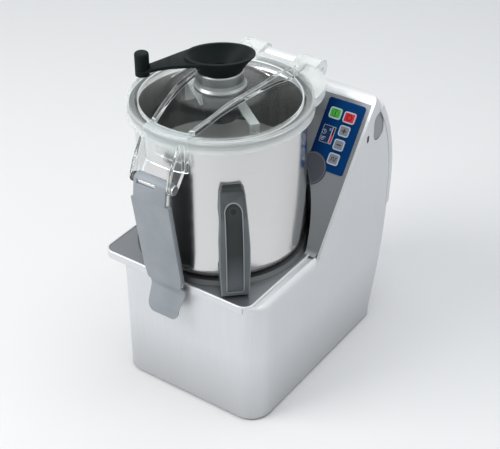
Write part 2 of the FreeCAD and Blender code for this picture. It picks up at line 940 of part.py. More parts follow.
def build_handle(parts):
    """Hollow-backed grip with a dark channel let into its outer face, drawn along +X and turned."""
    foot = deck_height + handle_lift
    top = rim_height - handle_drop
    inner = bowl_radius - 2 * handle_overlap
    reach = bowl_radius + finger_reach
    gap = side_profile([
        (inner, foot + finger_low),
        (reach, foot + finger_low),
        (reach, top - finger_high),
        (inner, top - finger_high + 2 * handle_overlap),
    ], finger_rounds, handle_width)
    start = bowl_radius + channel_start
    head_round = channel_half - channel_head_gap
    low = foot + channel_low
    high = top - channel_drop
    wire = rounded_path([
        V(start, -channel_half, low),
        V(start, channel_half, low),
        V(start, channel_half, high),
        V(start, -channel_half, high),
    ], [channel_foot_round, channel_foot_round, head_round, head_round])
    channel = Part.Face(wire).extrude(V(2 * handle_reach, 0, 0))
    groove = channel.cut(handle_side(channel_depth))
    outline = handle_front()
    screw_at = V(bowl_radius + handle_screw_in, 0, top - handle_screw_drop)
    head = Part.makeCylinder(handle_screw_radius, handle_screw_length, screw_at, V(1, 0, handle_screw_lean))
    body = handle_side(0.0).common(outline).cut(gap).cut(groove).cut(head)
    bowl_space = bore_z(bowl_radius)
    seat_space = bore_z(recess_radius, z1=deck_height + seat_rim_height + handle_seat_gap)
    parts["bowl_handle"] = turn_z(largest(body.cut(bowl_space).cut(seat_space)), handle_angle)
    face = handle_side(channel_lip)
    insert = groove.common(outline).common(face).cut(gap).cut(head)
    parts["handle_insert"] = turn_z(largest(insert), handle_angle)
    parts["handle_screw"] = turn_z(largest(head.common(face)), handle_angle)


def lid_plan(inset, z0, z1):
    """Rear extension of the lid with rounded shoulders, joined to the round lid."""
    start_x = dome_radius - inset
    start_y = lid_radius / 2
    mid_x = lid_radius - plan_shoulder_x - inset
    mid_y = lid_radius - plan_shoulder_y - inset
    end_x = lug_outer - inset
    end_y = hinge_y - plan_setback - inset
    right = Part.Arc(V(start_x, start_y, z0), V(mid_x, mid_y, z0), V(end_x, end_y, z0)).toShape()
    left = Part.Arc(V(-end_x, end_y, z0), V(-mid_x, mid_y, z0), V(-start_x, start_y, z0)).toShape()
    back = Part.makeLine(V(end_x, end_y, z0), V(-end_x, end_y, z0))
    front = Part.makeLine(V(-start_x, start_y, z0), V(start_x, start_y, z0))
    return Part.Face(Part.Wire([right, back, left, front])).extrude(V(0, 0, z1 - z0))


def lid_round():
    """Domed lid with its skirt, turned about the axis."""
    skirt_low = lid_top - lid_skirt - lid_skirt_extra
    knee = dome_hole + dome_knee
    knee_top = dome_top - dome_knee_drop
    crown = dome_hole + lid_skirt_extra
    return turned([
        (lid_radius - lid_sheet, skirt_low),
        (lid_radius, skirt_low),
        (lid_radius, lid_top - lid_edge),
        (lid_radius - lid_edge, lid_top),
        (dome_radius + lid_edge, lid_top),
        (dome_radius, lid_top - dome_step),
        (knee, knee_top),
        (crown, dome_top),
        (neck_hole, dome_top),
        (neck_hole, dome_top - lid_sheet),
        (crown - past, dome_top - lid_sheet),
        (knee, knee_top - lid_sheet),
        (dome_radius, lid_top - dome_step - lid_sheet),
        (dome_radius, lid_under),
        (lid_radius - lid_sheet, lid_under),
    ])


def lid_lugs():
    lugs = []
    rise = hinge_z + lug_radius
    low = lid_top - lid_skirt
    front = lid_radius - lug_root
    for side in (-1, 1):
        x0 = min(side * lug_inner, side * lug_outer)
        x1 = max(side * lug_inner, side * lug_outer)
        lugs.append(rod_x(lug_radius, x0, x1, hinge_y, hinge_z))
        lugs.append(profile_x([
            (front - lug_overlap, low),
            (hinge_y, low),
            (hinge_y, rise),
            (hinge_y - lug_slope, rise),
            (front, lid_top),
            (front - lug_overlap, lid_top),
        ], x0, x1))
    return lugs


def lid_ribs():
    """Two bowed stiffening ribs that run from the front strap to the hinge lugs."""
    half = rib_width / 2
    low = lid_top - rib_root
    front = -lid_radius + rib_front_gap
    rear = hinge_y - rib_rear_gap
    rib_top = lid_top + rib_rise
    ribs = []
    for side in (-1, 1):
        curves = []
        for offset in (-half, half):
            points = [
                V(latch_x + side * rib_front + offset, front, low),
                V(latch_x + side * rib_middle + offset, rib_middle_y, low),
                V(latch_x + side * rib_rear + offset, rear, low),
            ]
            curves.append(points)
        inner, outer = curves
        wire = Part.Wire([
            Part.Arc(*inner).toShape(),
            Part.makeLine(inner[2], outer[2]),
            Part.Arc(outer[2], outer[1], outer[0]).toShape(),
            Part.makeLine(outer[0], inner[0]),
        ])
        ribs.append(Part.Face(wire).extrude(V(0, 0, rib_rise + dome_rise)))
    crown = profile_x([
        (front - rib_nose, lid_top - past),
        (rear + rib_tail, lid_top - rib_sink),
        (rear + rib_tail, lid_top + rib_tail),
        (lid_radius / 2, rib_top),
        (-neck_bead - rib_sink, rib_top - past),
        (front, lid_top + strap_rise),
        (front - rib_nose, lid_top + strap_rise),
    ], -lid_radius, lid_radius, rib_crown_rounds)
    under = turned([
        (0.0, rim_height),
        (dome_radius, rim_height),
        (dome_radius, lid_top - rib_sink),
        (dome_hole + dome_knee, dome_top - dome_knee_drop - rib_bury),
        (dome_hole + lid_skirt_extra, dome_top - rib_bury),
        (0.0, dome_top - rib_bury),
    ])
    strap_space = bore_z(far, lid_top).cut(bore_z(dome_radius + strap_band + running_gap))
    strap_space = strap_space.common(space(y1=0.0))
    tools = Part.makeCompound([under, bore_z(neck_bead + rib_neck_gap)])
    return [rib.common(crown).cut(tools).cut(strap_space) for rib in ribs]


def build_lid(parts):
    plate = lid_plan(0.0, lid_top - lid_skirt, lid_top)
    plate = plate.cut(lid_plan(lid_sheet, lid_top - lid_skirt, lid_top - lid_sheet))
    plate = plate.cut(bore_z(lid_radius - past))
    notch = space(-lug_inner, lug_inner, hinge_y - barrel_radius - lug_notch)
    whole = fuse([lid_round(), plate] + lid_lugs() + lid_ribs())
    bore = rod_x(hinge_pin_radius + running_gap, -far, far, hinge_y, hinge_z)
    parts["lid_panel"] = largest(whole.cut(notch).cut(bore).removeSplitter())
    inner = bowl_radius - side_gap
    parts["lid_gasket"] = turned([
        (inner, rim_height),
        (rim_radius, rim_height),
        (rim_radius, lid_under),
        (inner, lid_under),
    ])


def strap_flange(x0, x1):
    """Ear of the strap that carries one end of the latch pin."""
    root = -lid_radius + flange_root
    return profile_x([
        (root, lid_top - flange_top),
        (root, latch_z + flange_throat),
        (latch_y + flange_back, latch_z - flange_toe_drop),
        (latch_y - flange_toe, latch_z - flange_toe_low),
        (latch_y - flange_nose, latch_z + flange_nose_rise),
        (latch_y + flange_brow, latch_z + flange_brow_rise),
        (root - flange_crown, lid_top - flange_top),
    ], x0, x1, flange_rounds)


def build_strap(parts):
    outer = lid_radius + lid_sheet
    low = lid_top - lid_skirt - strap_drop
    high = lid_top + strap_rise
    inner = dome_radius + strap_band
    shell = turned([
        (lid_radius, low),
        (outer, low),
        (outer, lid_top),
        (outer - strap_edge, high),
        (inner, high),
        (inner, lid_top),
        (lid_radius, lid_top),
    ])
    zone = space(latch_x - strap_half, latch_x + strap_half, y1=-dome_radius / 2)
    pieces = [shell.common(zone)]
    near = latch_barrel_half + flange_gap
    reach = near + flange_thickness
    pieces.append(strap_flange(latch_x + near, latch_x + reach))
    pieces.append(strap_flange(latch_x - reach, latch_x - near))
    whole = fuse(pieces).cut(rod(lid_radius, -far, lid_top))
    hole = rod_x(latch_pin, -far, far, latch_y, latch_z)
    parts["lid_strap"] = largest(whole.cut(hole).removeSplitter())
    pin = rod_x(latch_pin, latch_x - reach, latch_x + reach, latch_y, latch_z)
    right = rod_x(pin_head, latch_x + reach, latch_x + reach + pin_head_height, latch_y, latch_z)
    left = rod_x(pin_head, latch_x - reach - pin_head_height, latch_x - reach, latch_y, latch_z)
    parts["latch_pin"] = fuse([pin, right, left])


def build_neck(parts):
    """Steel ring with a beaded foot that the crank turns in."""
    bore = crank_neck + running_gap
    spigot = neck_hole - neck_spigot_gap
    parts["neck_ring"] = turned([
        (bore, dome_top - lid_sheet - neck_spigot_low),
        (spigot, dome_top - lid_sheet - neck_spigot_low),
        (spigot, dome_top),
        (neck_bead, dome_top),
        (neck_bead, dome_top + neck_bead_height),
        (neck_radius + neck_waist, dome_top + neck_waist_height),
        (neck_radius, dome_top + neck_straight_height),
        (neck_radius, neck_top - neck_chamfer),
        (neck_radius - neck_chamfer, neck_top),
        (bore, neck_top),
    ])


def build_hinge(parts):
    half = lug_inner - 2 * side_gap
    rear = rear_line + rear_steps_top[-1][1]
    bracket = profile_x([
        (hinge_y - bracket_front, hinge_z - barrel_radius + past),
        (face_top - past, tower_top - bracket_seat),
        (rear, tower_top - bracket_seat),
        (rear, tower_top + bracket_rise),
        (hinge_y + barrel_radius, hinge_z),
        (hinge_y, hinge_z + bracket_top),
    ], -half, half, bracket_rounds)
    barrel = rod_x(barrel_radius, -half, half, hinge_y, hinge_z)
    pin_space = rod_x(hinge_pin_radius, -far, far, hinge_y, hinge_z)
    bracket = fuse([bracket, barrel]).cut(pin_space).cut(tower_block(0.0))
    parts["hinge_bracket"] = largest(bracket)
    parts["hinge_pin"] = rod_x(hinge_pin_radius, -lug_outer, lug_outer, hinge_y, hinge_z)


def oval_wire(half_x, half_y, z):
    return Part.Wire([Part.Ellipse(V(0, 0, z), half_x, half_y).toShape()])


def crank_funnel():
    """Feed funnel: a round neck that opens into an oval scoop along the arm."""
    foot = neck_top + side_gap
    band_low = funnel_top - funnel_band
    outside = Part.makeLoft([
        oval_wire(funnel_foot + running_gap, funnel_foot, foot),
        oval_wire(funnel_foot + funnel_step, funnel_foot + past, foot + funnel_step_height),
        oval_wire(funnel_long, funnel_wide, band_low),
    ], True, False)
    band = Part.Face(oval_wire(funnel_long, funnel_wide, band_low)).extrude(V(0, 0, funnel_band))
    neck = rod(crank_neck, scraper_hub_top(), foot)
    return fuse([outside, band, neck])


def funnel_inside():
    mouth = funnel_top + running_gap
    scoop = Part.makeLoft([
        oval_wire(feed_radius - scoop_foot_long, feed_radius - scoop_foot_wide, neck_top - scoop_foot_drop),
        oval_wire(feed_radius + scoop_long, feed_radius + scoop_wide, neck_top + scoop_height),
        oval_wire(funnel_long - funnel_wall, funnel_wide - funnel_wall, mouth),
    ], True, False)
    return scoop.fuse(bore_z(feed_radius)).fuse(bore_z(feed_radius, funnel_top))


def scraper_hub_top():
    return lid_top - scraper_drop + scraper_hub_height + past


def crank_bar():
    """Flat arm that flares into the scoop and falls away toward the grip."""
    places = [share * crank_reach for share in arm_places]
    far_side = [V(x, half, 0) for x, half in zip(places, arm_half_widths)]
    near_side = [V(p.x, -p.y, 0) for p in far_side]
    sides = []
    for points in (far_side, near_side):
        curve = Part.BSplineCurve()
        curve.interpolate(points)
        sides.append(curve.toShape())
    sides.append(Part.makeLine(far_side[-1], near_side[-1]))
    sides.append(Part.makeLine(near_side[0], far_side[0]))
    plan = Part.Face(Part.Wire(Part.__sortEdges__(sides))).extrude(V(0, 0, far))
    top = [V(x, -funnel_long, funnel_top - drop) for x, drop in zip(places, arm_drops)]
    upper = Part.BSplineCurve()
    upper.interpolate(top)
    lower = upper.copy()
    lower.translate(V(0, 0, -arm_thickness))
    down = V(0, 0, -arm_thickness)
    wire = Part.Wire(Part.__sortEdges__([
        upper.toShape(),
        Part.makeLine(top[-1], top[-1] + down),
        lower.toShape(),
        Part.makeLine(top[0] + down, top[0]),
    ]))
    side = Part.Face(wire).extrude(V(0, 2 * funnel_long, 0))
    return plan.common(side)


def build_crank(parts):
    tip = V(crank_reach, 0, 0)
    base = tip + V(0, 0, pad_top - pad_height)
    pad = Part.makeCylinder(grip_radius, pad_height, base)
    grip_space = Part.makeCylinder(grip_radius + past, far, tip + V(0, 0, pad_top))
    pin = Part.makeCylinder(grip_pin, grip_height - grip_cover, base)
    bar = crank_bar().cut(grip_space)
    whole = fuse([crank_funnel(), largest(bar), pad, pin]).cut(funnel_inside())
    parts["crank_arm"] = turn_z(largest(whole), crank_angle)
    grip_low = pad_top + side_gap
    grip_top = pad_top - pad_height + grip_height
    grip = Part.makeCylinder(grip_radius, grip_top - grip_low, tip + V(0, 0, grip_low))
    top_edge = [edge for edge in grip.Edges if edge.BoundBox.ZMin > grip_top - running_gap]
    grip = grip.makeFillet(grip_round, top_edge)
    bore = Part.makeCylinder(grip_pin + running_gap, grip_height - grip_cover + past, base)
    parts["crank_grip"] = turn_z(grip.cut(bore), crank_angle)


def build_scraper(parts):
    """Hub under the lid with two arms whose blades reach down inside the bowl."""
    low = lid_top - scraper_drop
    top = scraper_hub_top()
    radius = scraper_hub_radius
    parts["scraper_hub"] = turned([
        (feed_radius, low),
        (radius - scraper_hub_chamfer, low),
        (radius, low + scraper_hub_chamfer_height),
        (radius, top),
        (feed_radius, top),
    ])
    high = lid_top - scraper_below_lid
    for name, turn in (("scraper_arm_a", 0.0), ("scraper_arm_b", 180.0)):
        strip = box(0.0, scraper_reach, scraper_near, scraper_far, high - scraper_sheet, high)
        blade = box(scraper_reach - scraper_sheet, scraper_reach, scraper_near, scraper_far,
                    high - scraper_drop, high)
        piece = largest(strip.fuse(blade).cut(bore_z(radius)).removeSplitter())
        parts[name] = turn_z(piece, scraper_angle + turn)


def build_lever(parts):
    """Long latch lever: a bent sheet with shallow side walls, a barrel and a small slot."""
    front = pivot_y - lever_front_out
    knee = latch_z - lever_knee
    plate = profile_x([
        (latch_y - latch_barrel, latch_z),
        (latch_y - latch_barrel - lever_knee_out, knee),
        (front, lever_bottom),
        (front + lever_sheet, lever_bottom),
        (latch_y - latch_barrel - lever_knee_out + lever_sheet + lever_back_knee, knee - past),
        (latch_y - latch_barrel + lever_back_top, latch_z - lever_back_top),
    ], latch_x - latch_half, latch_x + latch_half, lever_plate_rounds)
    shoulder_z = latch_z - lever_shoulder
    walls = []
    back = front + lever_wall_depth + ear_wall
    for side in (-1, 1):
        edge = latch_x + side * latch_half
        inner = latch_x + side * (lever_foot_half - lever_wall)
        walls.append(profile_x([
            (latch_y - latch_barrel - lever_wall_front, shoulder_z),
            (front, lever_bottom),
            (back, lever_bottom + lever_ear_low),
            (back, lever_bottom + lever_ear_high),
            (front + lever_wall_depth - lever_wall_waist, lever_bottom + lever_wall_waist_rise),
            (latch_y - latch_barrel + lever_wall_depth - lever_wall_top, shoulder_z),
        ], min(edge, inner), max(edge, inner), lever_wall_rounds))
    half = latch_barrel_half
    outline = profile_y([
        (latch_x - half, far),
        (latch_x - half, shoulder_z),
        (latch_x - latch_half, shoulder_z),
        (latch_x - latch_half, lever_bottom + lever_taper_height),
        (latch_x - lever_foot_half, lever_bottom),
        (latch_x + lever_foot_half, lever_bottom),
        (latch_x + latch_half, lever_bottom + lever_taper_height),
        (latch_x + latch_half, shoulder_z),
        (latch_x + half, shoulder_z),
        (latch_x + half, far),
    ], -far, far, lever_front_rounds)
    barrel = rod_x(latch_barrel, latch_x - half, latch_x + half, latch_y, latch_z)
    lever = fuse([plate] + walls).common(outline).fuse(barrel)
    bore = rod_x(latch_pin + running_gap, -far, far, latch_y, latch_z)
    slot = space(latch_x - lever_slot_left, latch_x + lever_slot_right, -far, latch_y,
                 latch_z - lever_slot_half, latch_z + lever_slot_half)
    pivot = rod_x(pivot_radius, latch_x - lever_foot_half, latch_x + lever_foot_half, pivot_y, pivot_z)
    inside = paddle_half + pivot_gap
    knuckle = rod_x(pivot_barrel + pivot_gap, latch_x - inside, latch_x + inside, pivot_y, pivot_z)
    lever = lever.cut(Part.makeCompound([bore, slot])).cut(pivot).cut(knuckle)
    parts["latch_lever"] = largest(lever.removeSplitter())
    parts["paddle_pin"] = pivot


def build_paddle(parts):
    """Press paddle: it tucks under the tray's lip, slopes outward and turns down at its end."""
    half = paddle_half
    y = pivot_y
    z = pivot_z
    sheet_half = paddle_sheet / 2
    middle = [
        (y + paddle_root_in, z),
        (y + paddle_tuck, z - paddle_bend),
        (y + paddle_tuck + paddle_slope_in - paddle_knee_out, z - paddle_knee),
        (y + paddle_tuck + paddle_slope_in - paddle_end_out, z - paddle_length),
    ]
    leans = (0.0, paddle_lean, paddle_lean, 0.0)
    outer = [(py - sheet_half, pz - lean) for (py, pz), lean in zip(middle, leans)]
    inner = [(py + sheet_half, pz + lean) for (py, pz), lean in zip(middle, leans)]
    wide = lever_foot_half + paddle_side_out
    plate = profile_x(outer + inner[::-1], latch_x - wide, latch_x + wide, paddle_side_rounds)
    tip = z - paddle_length
    neck = paddle_shoulder_round
    rounds = [0, 0, 0, neck, paddle_corner, paddle_corner, neck, 0, 0, 0]
    outline = profile_y([
        (latch_x - half, z + pivot_barrel),
        (latch_x - half, z - pivot_barrel - paddle_neck_low),
        (latch_x - wide, z - pivot_barrel - paddle_shoulder_low),
        (latch_x - wide, z - paddle_bend),
        (latch_x - paddle_half, tip),
        (latch_x + paddle_half, tip),
        (latch_x + wide, z - paddle_bend),
        (latch_x + wide, z - pivot_barrel - paddle_shoulder_low),
        (latch_x + half, z - pivot_barrel - paddle_neck_low),
        (latch_x + half, z + pivot_barrel),
    ], -far, far, rounds)
    barrel = rod_x(pivot_barrel, latch_x - half, latch_x + half, y, z)
    hook = profile_x([
        (y + paddle_tuck - hook_root, hook_top),
        (tray_front + hook_bite, hook_top),
        (tray_front + hook_bite, hook_top - hook_height),
        (y + paddle_tuck - hook_root, hook_top - 2 * hook_height),
    ], latch_x - hook_half, latch_x + hook_half)
    whole = fuse([plate.common(outline), barrel, hook])
    bore = rod_x(pivot_radius + running_gap, -far, far, y, z)
    parts["latch_paddle"] = largest(whole.cut(bore).removeSplitter())


def build_keys(parts, holes):
    for name, (from_right, from_top, wide, high) in keys.items():
        x = panel_right - from_right
        s = panel_high - from_top
        cap = rounded_plate(x, s, wide, high, key_low, key_high, key_corner)
        stem = rod(key_stem, -key_stem_depth, key_low, x, s)
        parts[name] = on_face(fuse([cap, stem]))
        grow = 2 * key_gap
        holes.append(rounded_plate(x, s, wide + grow, high + grow, -past, 2 * past, key_corner + key_gap))


def build_panel(parts):
    """Panel film on the sloping face with its window, keys, badge and the board behind it."""
    overlay = rounded_prism(panel_left, panel_right, panel_low, panel_high, 0.0, panel_thickness,
                            (panel_corner / 2, panel_corner, panel_corner, panel_corner))
    badge_x = panel_right - badge_from_right
    badge_s = panel_high - badge_from_top
    window_x = panel_right - window_from_right
    window_s = panel_high - window_from_top
    holes = [rod(badge_radius + key_gap, -past, 2 * past, badge_x, badge_s)]
    window = rounded_plate(window_x, window_s, window_width, window_height, 0.0, panel_thickness,
                           window_corner)
    parts["display_window"] = on_face(window)
    grow = 2 * window_gap
    holes.append(rounded_plate(window_x, window_s, window_width + grow, window_height + grow,
                               -past, 2 * past, window_corner))
    build_keys(parts, holes)
    recess = bore_z(recess_radius + rim_rise)
    parts["control_overlay"] = largest(on_face(overlay.cut(Part.makeCompound(holes))).cut(recess))
    badge = rod(badge_radius, 0.0, badge_thickness, badge_x, badge_s)
    parts["panel_badge"] = largest(on_face(badge).cut(recess))
    top = -board_depth
    board = on_face(box(panel_left + panel_corner, panel_right - key_corner, panel_low + barrel_radius,
                        panel_high - panel_corner, top - board_thickness, top))
    board = board.cut(bore_z(recess_radius + face_band))
    right = panel_right - 2 * panel_corner
    left = panel_left + 2 * panel_corner
    low = panel_low + lid_skirt + sheet
    high = panel_high - 2 * panel_corner
    posts = []
    for x, s in ((right, low), (right, high), (left, high)):
        posts.append(on_face(rod(board_post, top, -sheet - running_gap, x, s)))
    parts["control_board"] = largest(fuse([board] + posts))


def build_motor(parts):
    clear = shaft_radius + shaft_clearance
    bearing = shaft_radius + running_gap
    collar_top = deck_height + collar_rise
    flange = motor_radius + mount_flange
    parts["motor_flange"] = turned([
        (clear, mount_height),
        (flange, mount_height),
        (flange, deck_height - sheet),
        (motor_radius + sheet, deck_height - sheet),
        (motor_radius + sheet, mount_height + mount_plate),
        (collar_radius, mount_height + mount_plate),
        (collar_radius, collar_top),
        (bearing, collar_top),
        (bearing, deck_height + sheet),
        (clear, deck_height + sheet),
    ])
    seal = shaft_radius + key_gap
    parts["shaft_seal"] = turned([
        (seal, collar_top),
        (collar_radius - past, collar_top),
        (collar_radius - key_corner, collar_top + seal_height),
        (seal, collar_top + seal_height),
    ])
    inner = motor_radius - motor_wall
    parts["motor_housing"] = turned([
        (clear, mount_height),
        (motor_radius, mount_height),
        (motor_radius, motor_bottom),
        (bearing, motor_bottom),
        (bearing, motor_bottom + motor_wall),
        (inner, motor_bottom + motor_wall),
        (inner, mount_height - motor_wall),
        (clear, mount_height - motor_wall),
    ])
    low = motor_bottom + stator_inset
    high = mount_height - stator_inset
    parts["motor_stator"] = turned([
        (stator_inner, low),
        (inner, low),
        (inner, high),
        (stator_inner, high),
    ])
    parts["motor_shaft"] = rod(shaft_radius, motor_bottom - shaft_below_motor, shaft_top)
    armature = rod(stator_inner - armature_gap, low + armature_inset, high - armature_inset)
    parts["motor_armature"] = armature.cut(bore_z(shaft_radius))


def build_fan(parts):
    """Cooling fan: a disc with upright vanes, keyed on the motor's shaft."""
    low = motor_bottom + fan_vane
    pieces = [
        rod(fan_hub, low - sheet, low + sheet),
        rod(fan_radius, low, low + sheet),
    ]
    for index in range(fan_vanes):
        vane = box(fan_hub - fan_vane_start, fan_radius, -past, past, low + sheet, low + sheet + fan_vane)
        pieces.append(turn_z(vane, 360.0 / fan_vanes * index))
    parts["cooling_fan"] = largest(fuse(pieces).cut(bore_z(shaft_radius)))


def knife_pair(z, core, turn):
    """Two curved knives on one ring; the edge of each sweeps back in an arc."""
    ring = rod(hub_radius + blade_ring, z, z + blade_sheet)
    pieces = [ring]
    reach = bowl_radius - blade_edge_gap
    for flip in (0.0, 180.0):
        centre = V(blade_centre_x, blade_centre_y, z)
        outer = Part.makeCylinder(blade_curve, blade_sheet, centre)
        shifted = centre + V(blade_inner_x, blade_inner_y, 0)
        inner = Part.makeCylinder(blade_curve - blade_width, blade_sheet, shifted)
        zone = space(hub_collar, far, -barrel_radius, seat_hole)
        pieces.append(turn_z(outer.cut(inner).common(zone), flip))
    blade = fuse(pieces).common(rod(reach, z, z + blade_sheet)).cut(bore_z(core))
    return turn_z(largest(blade), turn)


def build_rotor(parts):
    low = hub_low
    wide = hub_radius + hub_collar
    bore = tube_radius + hub_bore_gap
    roof = tube_top + hub_lift
    hub_top = shaft_top + hub_nose_height
    parts["rotor_hub"] = turned([
        (bore, low),
        (wide, low),
        (wide, low + hub_band),
        (hub_radius, low + hub_slope),
        (hub_radius, hub_top - hub_taper),
        (hub_nose + hub_taper_out, hub_top - hub_nose_height),
        (hub_nose, hub_top),
        (0.0, hub_top),
        (0.0, shaft_top),
        (shaft_radius, shaft_top),
        (shaft_radius, roof),
        (bore, roof),
    ])
    parts["blade_lower"] = knife_pair(low + blade_low, wide, blade_low_angle)
    parts["blade_upper"] = knife_pair(low + blade_high, hub_radius, blade_high_angle)


def main():
    parts = {}
    build_housing(parts)
    build_rear_cover(parts)
    build_underside(parts)
    build_side_fittings(parts)
    build_bowl(parts)
    build_handle(parts)
    build_lid(parts)
    build_strap(parts)
    build_neck(parts)
    build_hinge(parts)
    build_crank(parts)
    build_scraper(parts)
    build_lever(parts)
    build_paddle(parts)
    build_panel(parts)
    build_motor(parts)
    build_fan(parts)
    build_rotor(parts)
    for name, shape in parts.items():
        largest(shape).exportStep("parts/" + name + ".step")


main()
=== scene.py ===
import math

import bmesh
import bpy
from mathutils import Matrix, Vector


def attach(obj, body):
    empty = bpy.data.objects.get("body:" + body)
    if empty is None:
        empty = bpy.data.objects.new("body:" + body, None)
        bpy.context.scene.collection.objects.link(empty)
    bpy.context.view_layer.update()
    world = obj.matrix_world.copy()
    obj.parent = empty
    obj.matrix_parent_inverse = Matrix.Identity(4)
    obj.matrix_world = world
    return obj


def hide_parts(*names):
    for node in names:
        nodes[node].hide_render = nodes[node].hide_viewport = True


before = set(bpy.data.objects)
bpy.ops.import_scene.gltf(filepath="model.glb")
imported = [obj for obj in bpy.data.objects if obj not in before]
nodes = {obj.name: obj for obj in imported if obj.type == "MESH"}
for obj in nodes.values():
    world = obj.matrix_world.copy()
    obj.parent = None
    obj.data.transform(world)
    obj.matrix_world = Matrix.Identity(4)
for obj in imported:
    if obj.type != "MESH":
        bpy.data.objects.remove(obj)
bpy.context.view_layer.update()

MM = 0.001

# Camera, from the photograph's viewing angle, in metres
CAMERA_PLACE = Vector((0.8758, -1.1794, 1.2288))
CAMERA_LOOK = Vector((-0.47387, 0.67422, -0.56646))
CAMERA_ROLL = math.radians(-0.37)
CAMERA_LENS = 88.85
CAMERA_SENSOR = 36.0
CAMERA_NEAR = 0.05
CAMERA_FAR = 50.0

# Studio: floor, soft sky and lamps, in metres and watts
FLOOR_REACH = 6.0
FLOOR_COLOR = (0.80, 0.80, 0.80)
FLOOR_ROUGHNESS = 0.85
SKY_COLOR = (0.92, 0.96, 1.0, 1.0)
SKY_STRENGTH = 0.55
SEEN_COLOR = (1.0, 1.0, 1.0, 1.0)
SEEN_STRENGTH = 1.0
LAMPS = (
    # name, place, target, size, power, colour
    ("key_lamp", (-1.3, -1.6, 1.9), (0, 0, 0.2), 1.6, 42.0, (1.0, 1.0, 1.0)),
    ("top_lamp", (0.2, 0.3, 2.2), (0, 0, 0.3), 1.4, 14.0, (1.0, 1.0, 1.0)),
    ("side_lamp", (1.2, 0.3, 1.3), (0.1, 0.1, 0.3), 0.9, 2.0, (0.93, 0.96, 1.0)),
)

# Shares of a noise's range that its effect runs over
MIDDLE = (0.3, 0.7)
WIDE = (0.25, 0.75)
NARROW = (0.35, 0.65)
HIGH = (0.35, 0.75)

# Brushed steel
BRUSH_SCALE = 900.0
BRUSH_DETAIL = 2.0
BRUSH_DARK = 0.93
CLOUD_SCALE = 9.0
CLOUD_DETAIL = 2.0
ACROSS = (1.0, 1.0, 0.02)
ALONG = (0.02, 0.02, 1.0)
SIDEWAYS = (0.03, 1.0, 1.0)
KNIFE_GRAIN = (1.0, 0.05, 1.0)
FOOT_ZONE = (0.11, 0.0)

# Moulded plastic
LEATHER_SCALE = 1600.0
LEATHER_DETAIL = 2.0
PATCH_SCALE = 22.0
PATCH_DETAIL = 3.0
PATCH_DARK = 0.9
PATCH_LIGHT = 1.06
# Painted highlight along sharp edges: where it starts, how much lighter, and a lift
PAINTED_HIGHLIGHT_EDGE = (0.86, 0.995)
PAINTED_HIGHLIGHT_GAIN = 1.6
PAINTED_HIGHLIGHT_LIFT = 0.15
FILM_TEXTURE = 0.00001

# Clear plastic
CLEAR_IOR = 1.13
CLEAR_SPECULAR = 0.4
SHADOW_TINT = (0.93, 0.95, 0.95, 1.0)
# Colour of the haze, also used for the painted sheen on edges and zones
HAZE_AND_SHEEN_COLOR = (0.93, 0.95, 0.94, 1.0)
HAZE_AND_SHEEN_ROUGHNESS = 0.28
PAINTED_SHEEN_EDGE = (0.75, 0.99)
HAZE_SCALE = 35.0
HAZE_DETAIL = 3.0
HAZE_SHARES = (0.8, 1.2)
SCRATCH_SCALE = 60.0
SCRATCH_DETAIL = 4.0
SCRATCH_GLOSS = 0.5

# Lid, in metres from the bowl's axis and the floor
LID_RADIUS = 0.128
LID_TOP = 0.432
DOME_RADIUS = 0.111
DOME_STEP = 0.0015
KNEE_RADIUS = 0.076
KNEE_TOP = 0.441
CROWN_RADIUS = 0.040
CROWN_TOP = 0.447
# Shares of painted sheen: a ring at the dome's foot, the flat band, the skirt and the ribs
RING_OFFSET = 0.0008
RING_WIDTH = (0.0004, 0.0013)
RING_PAINTED_SHEEN = 0.8
BAND_START = 0.004
BAND_END = 0.006
BAND_PAINTED_SHEEN = 0.14
SKIRT_START = 0.006
SKIRT_END = 0.001
SKIRT_PAINTED_SHEEN = 0.30
RIB_RISE = (0.0012, 0.003)
RIB_PAINTED_SHEEN = 0.10

# Bowl, in metres
BOWL_RADIUS = 0.118
# Inside the bowl, painted shade: dark with painted reflection streaks, and lighter below the
# level line
INSIDE_START = 0.0008
INSIDE_END = 0.0015
LEVEL_LINE = 0.328
LEVEL_BLUR = 0.001
LEVEL_SHARE = 0.75
LEVEL_COLOR = (0.80, 0.81, 0.78)
INSIDE_PAINTED_SHADE = (0.012, 0.016, 0.016)
INSIDE_PAINTED_STREAK = (0.046, 0.055, 0.052)
STREAK_SCALE = 60.0
STREAK_DETAIL = 3.0
STREAKS = (1.0, 1.0, 0.04)
BOWL_ROUGHNESS = (0.15, 0.25)
INSIDE_DULLNESS = 0.22
BOWL_BRUSH_DEPTH = 0.000004
BOWL_EDGE = 0.0008

# Sloping panel face, as the frame has it, in mm
FACE_TILT = math.radians(36.67)
FACE_START = 30.013
DECK = 203.0
PANEL_RIGHT = 135.5
PANEL_HIGH = 220.48
FILM_TOP = 1.0
KEY_TOP = 2.2
BADGE_TOP = 1.4
PRINT_SINK = 0.02
PRINT_THICKNESS = 0.1

# Key prints, in mm: from the panel's right edge, from its top, width, height
KEYS = {
    "key_start": (42.4, 20.7, 19.5, 16.5),
    "key_stop": (19.2, 21.3, 19.5, 16.5),
    "key_plus": (20.0, 41.5, 17.0, 16.0),
    "key_minus": (20.6, 62.3, 17.0, 16.0),
    "key_pulse": (21.1, 83.5, 18.0, 17.0),
}
KEY_MARK = {"key_start": "mark_green", "key_stop": "mark_red"}
KEY_SLOT = {"key_start": "key_green", "key_stop": "key_red"}
KEY_BORDER_GAP = 0.3
KEY_BORDER_LINE = 1.7
KEY_BORDER_CORNER = 3.3
START_BAR = (1.8, 7.5)
START_RING = (5.4, 4.5)
STOP_RING = (4.6, 3.2)
SIGN_BAR = (7.0, 1.7)
PLUS_ARM = (1.7, 2.6)
PLUS_ARM_OFFSET = 2.2
PULSE_LINE = 1.1
PULSE_POINTS = (
    (-5, -2.5), (-3, -2.5), (-3, 2.5), (0, 2.5),
    (0, -2.5), (3, -2.5), (3, 2.5), (5, 2.5),
)

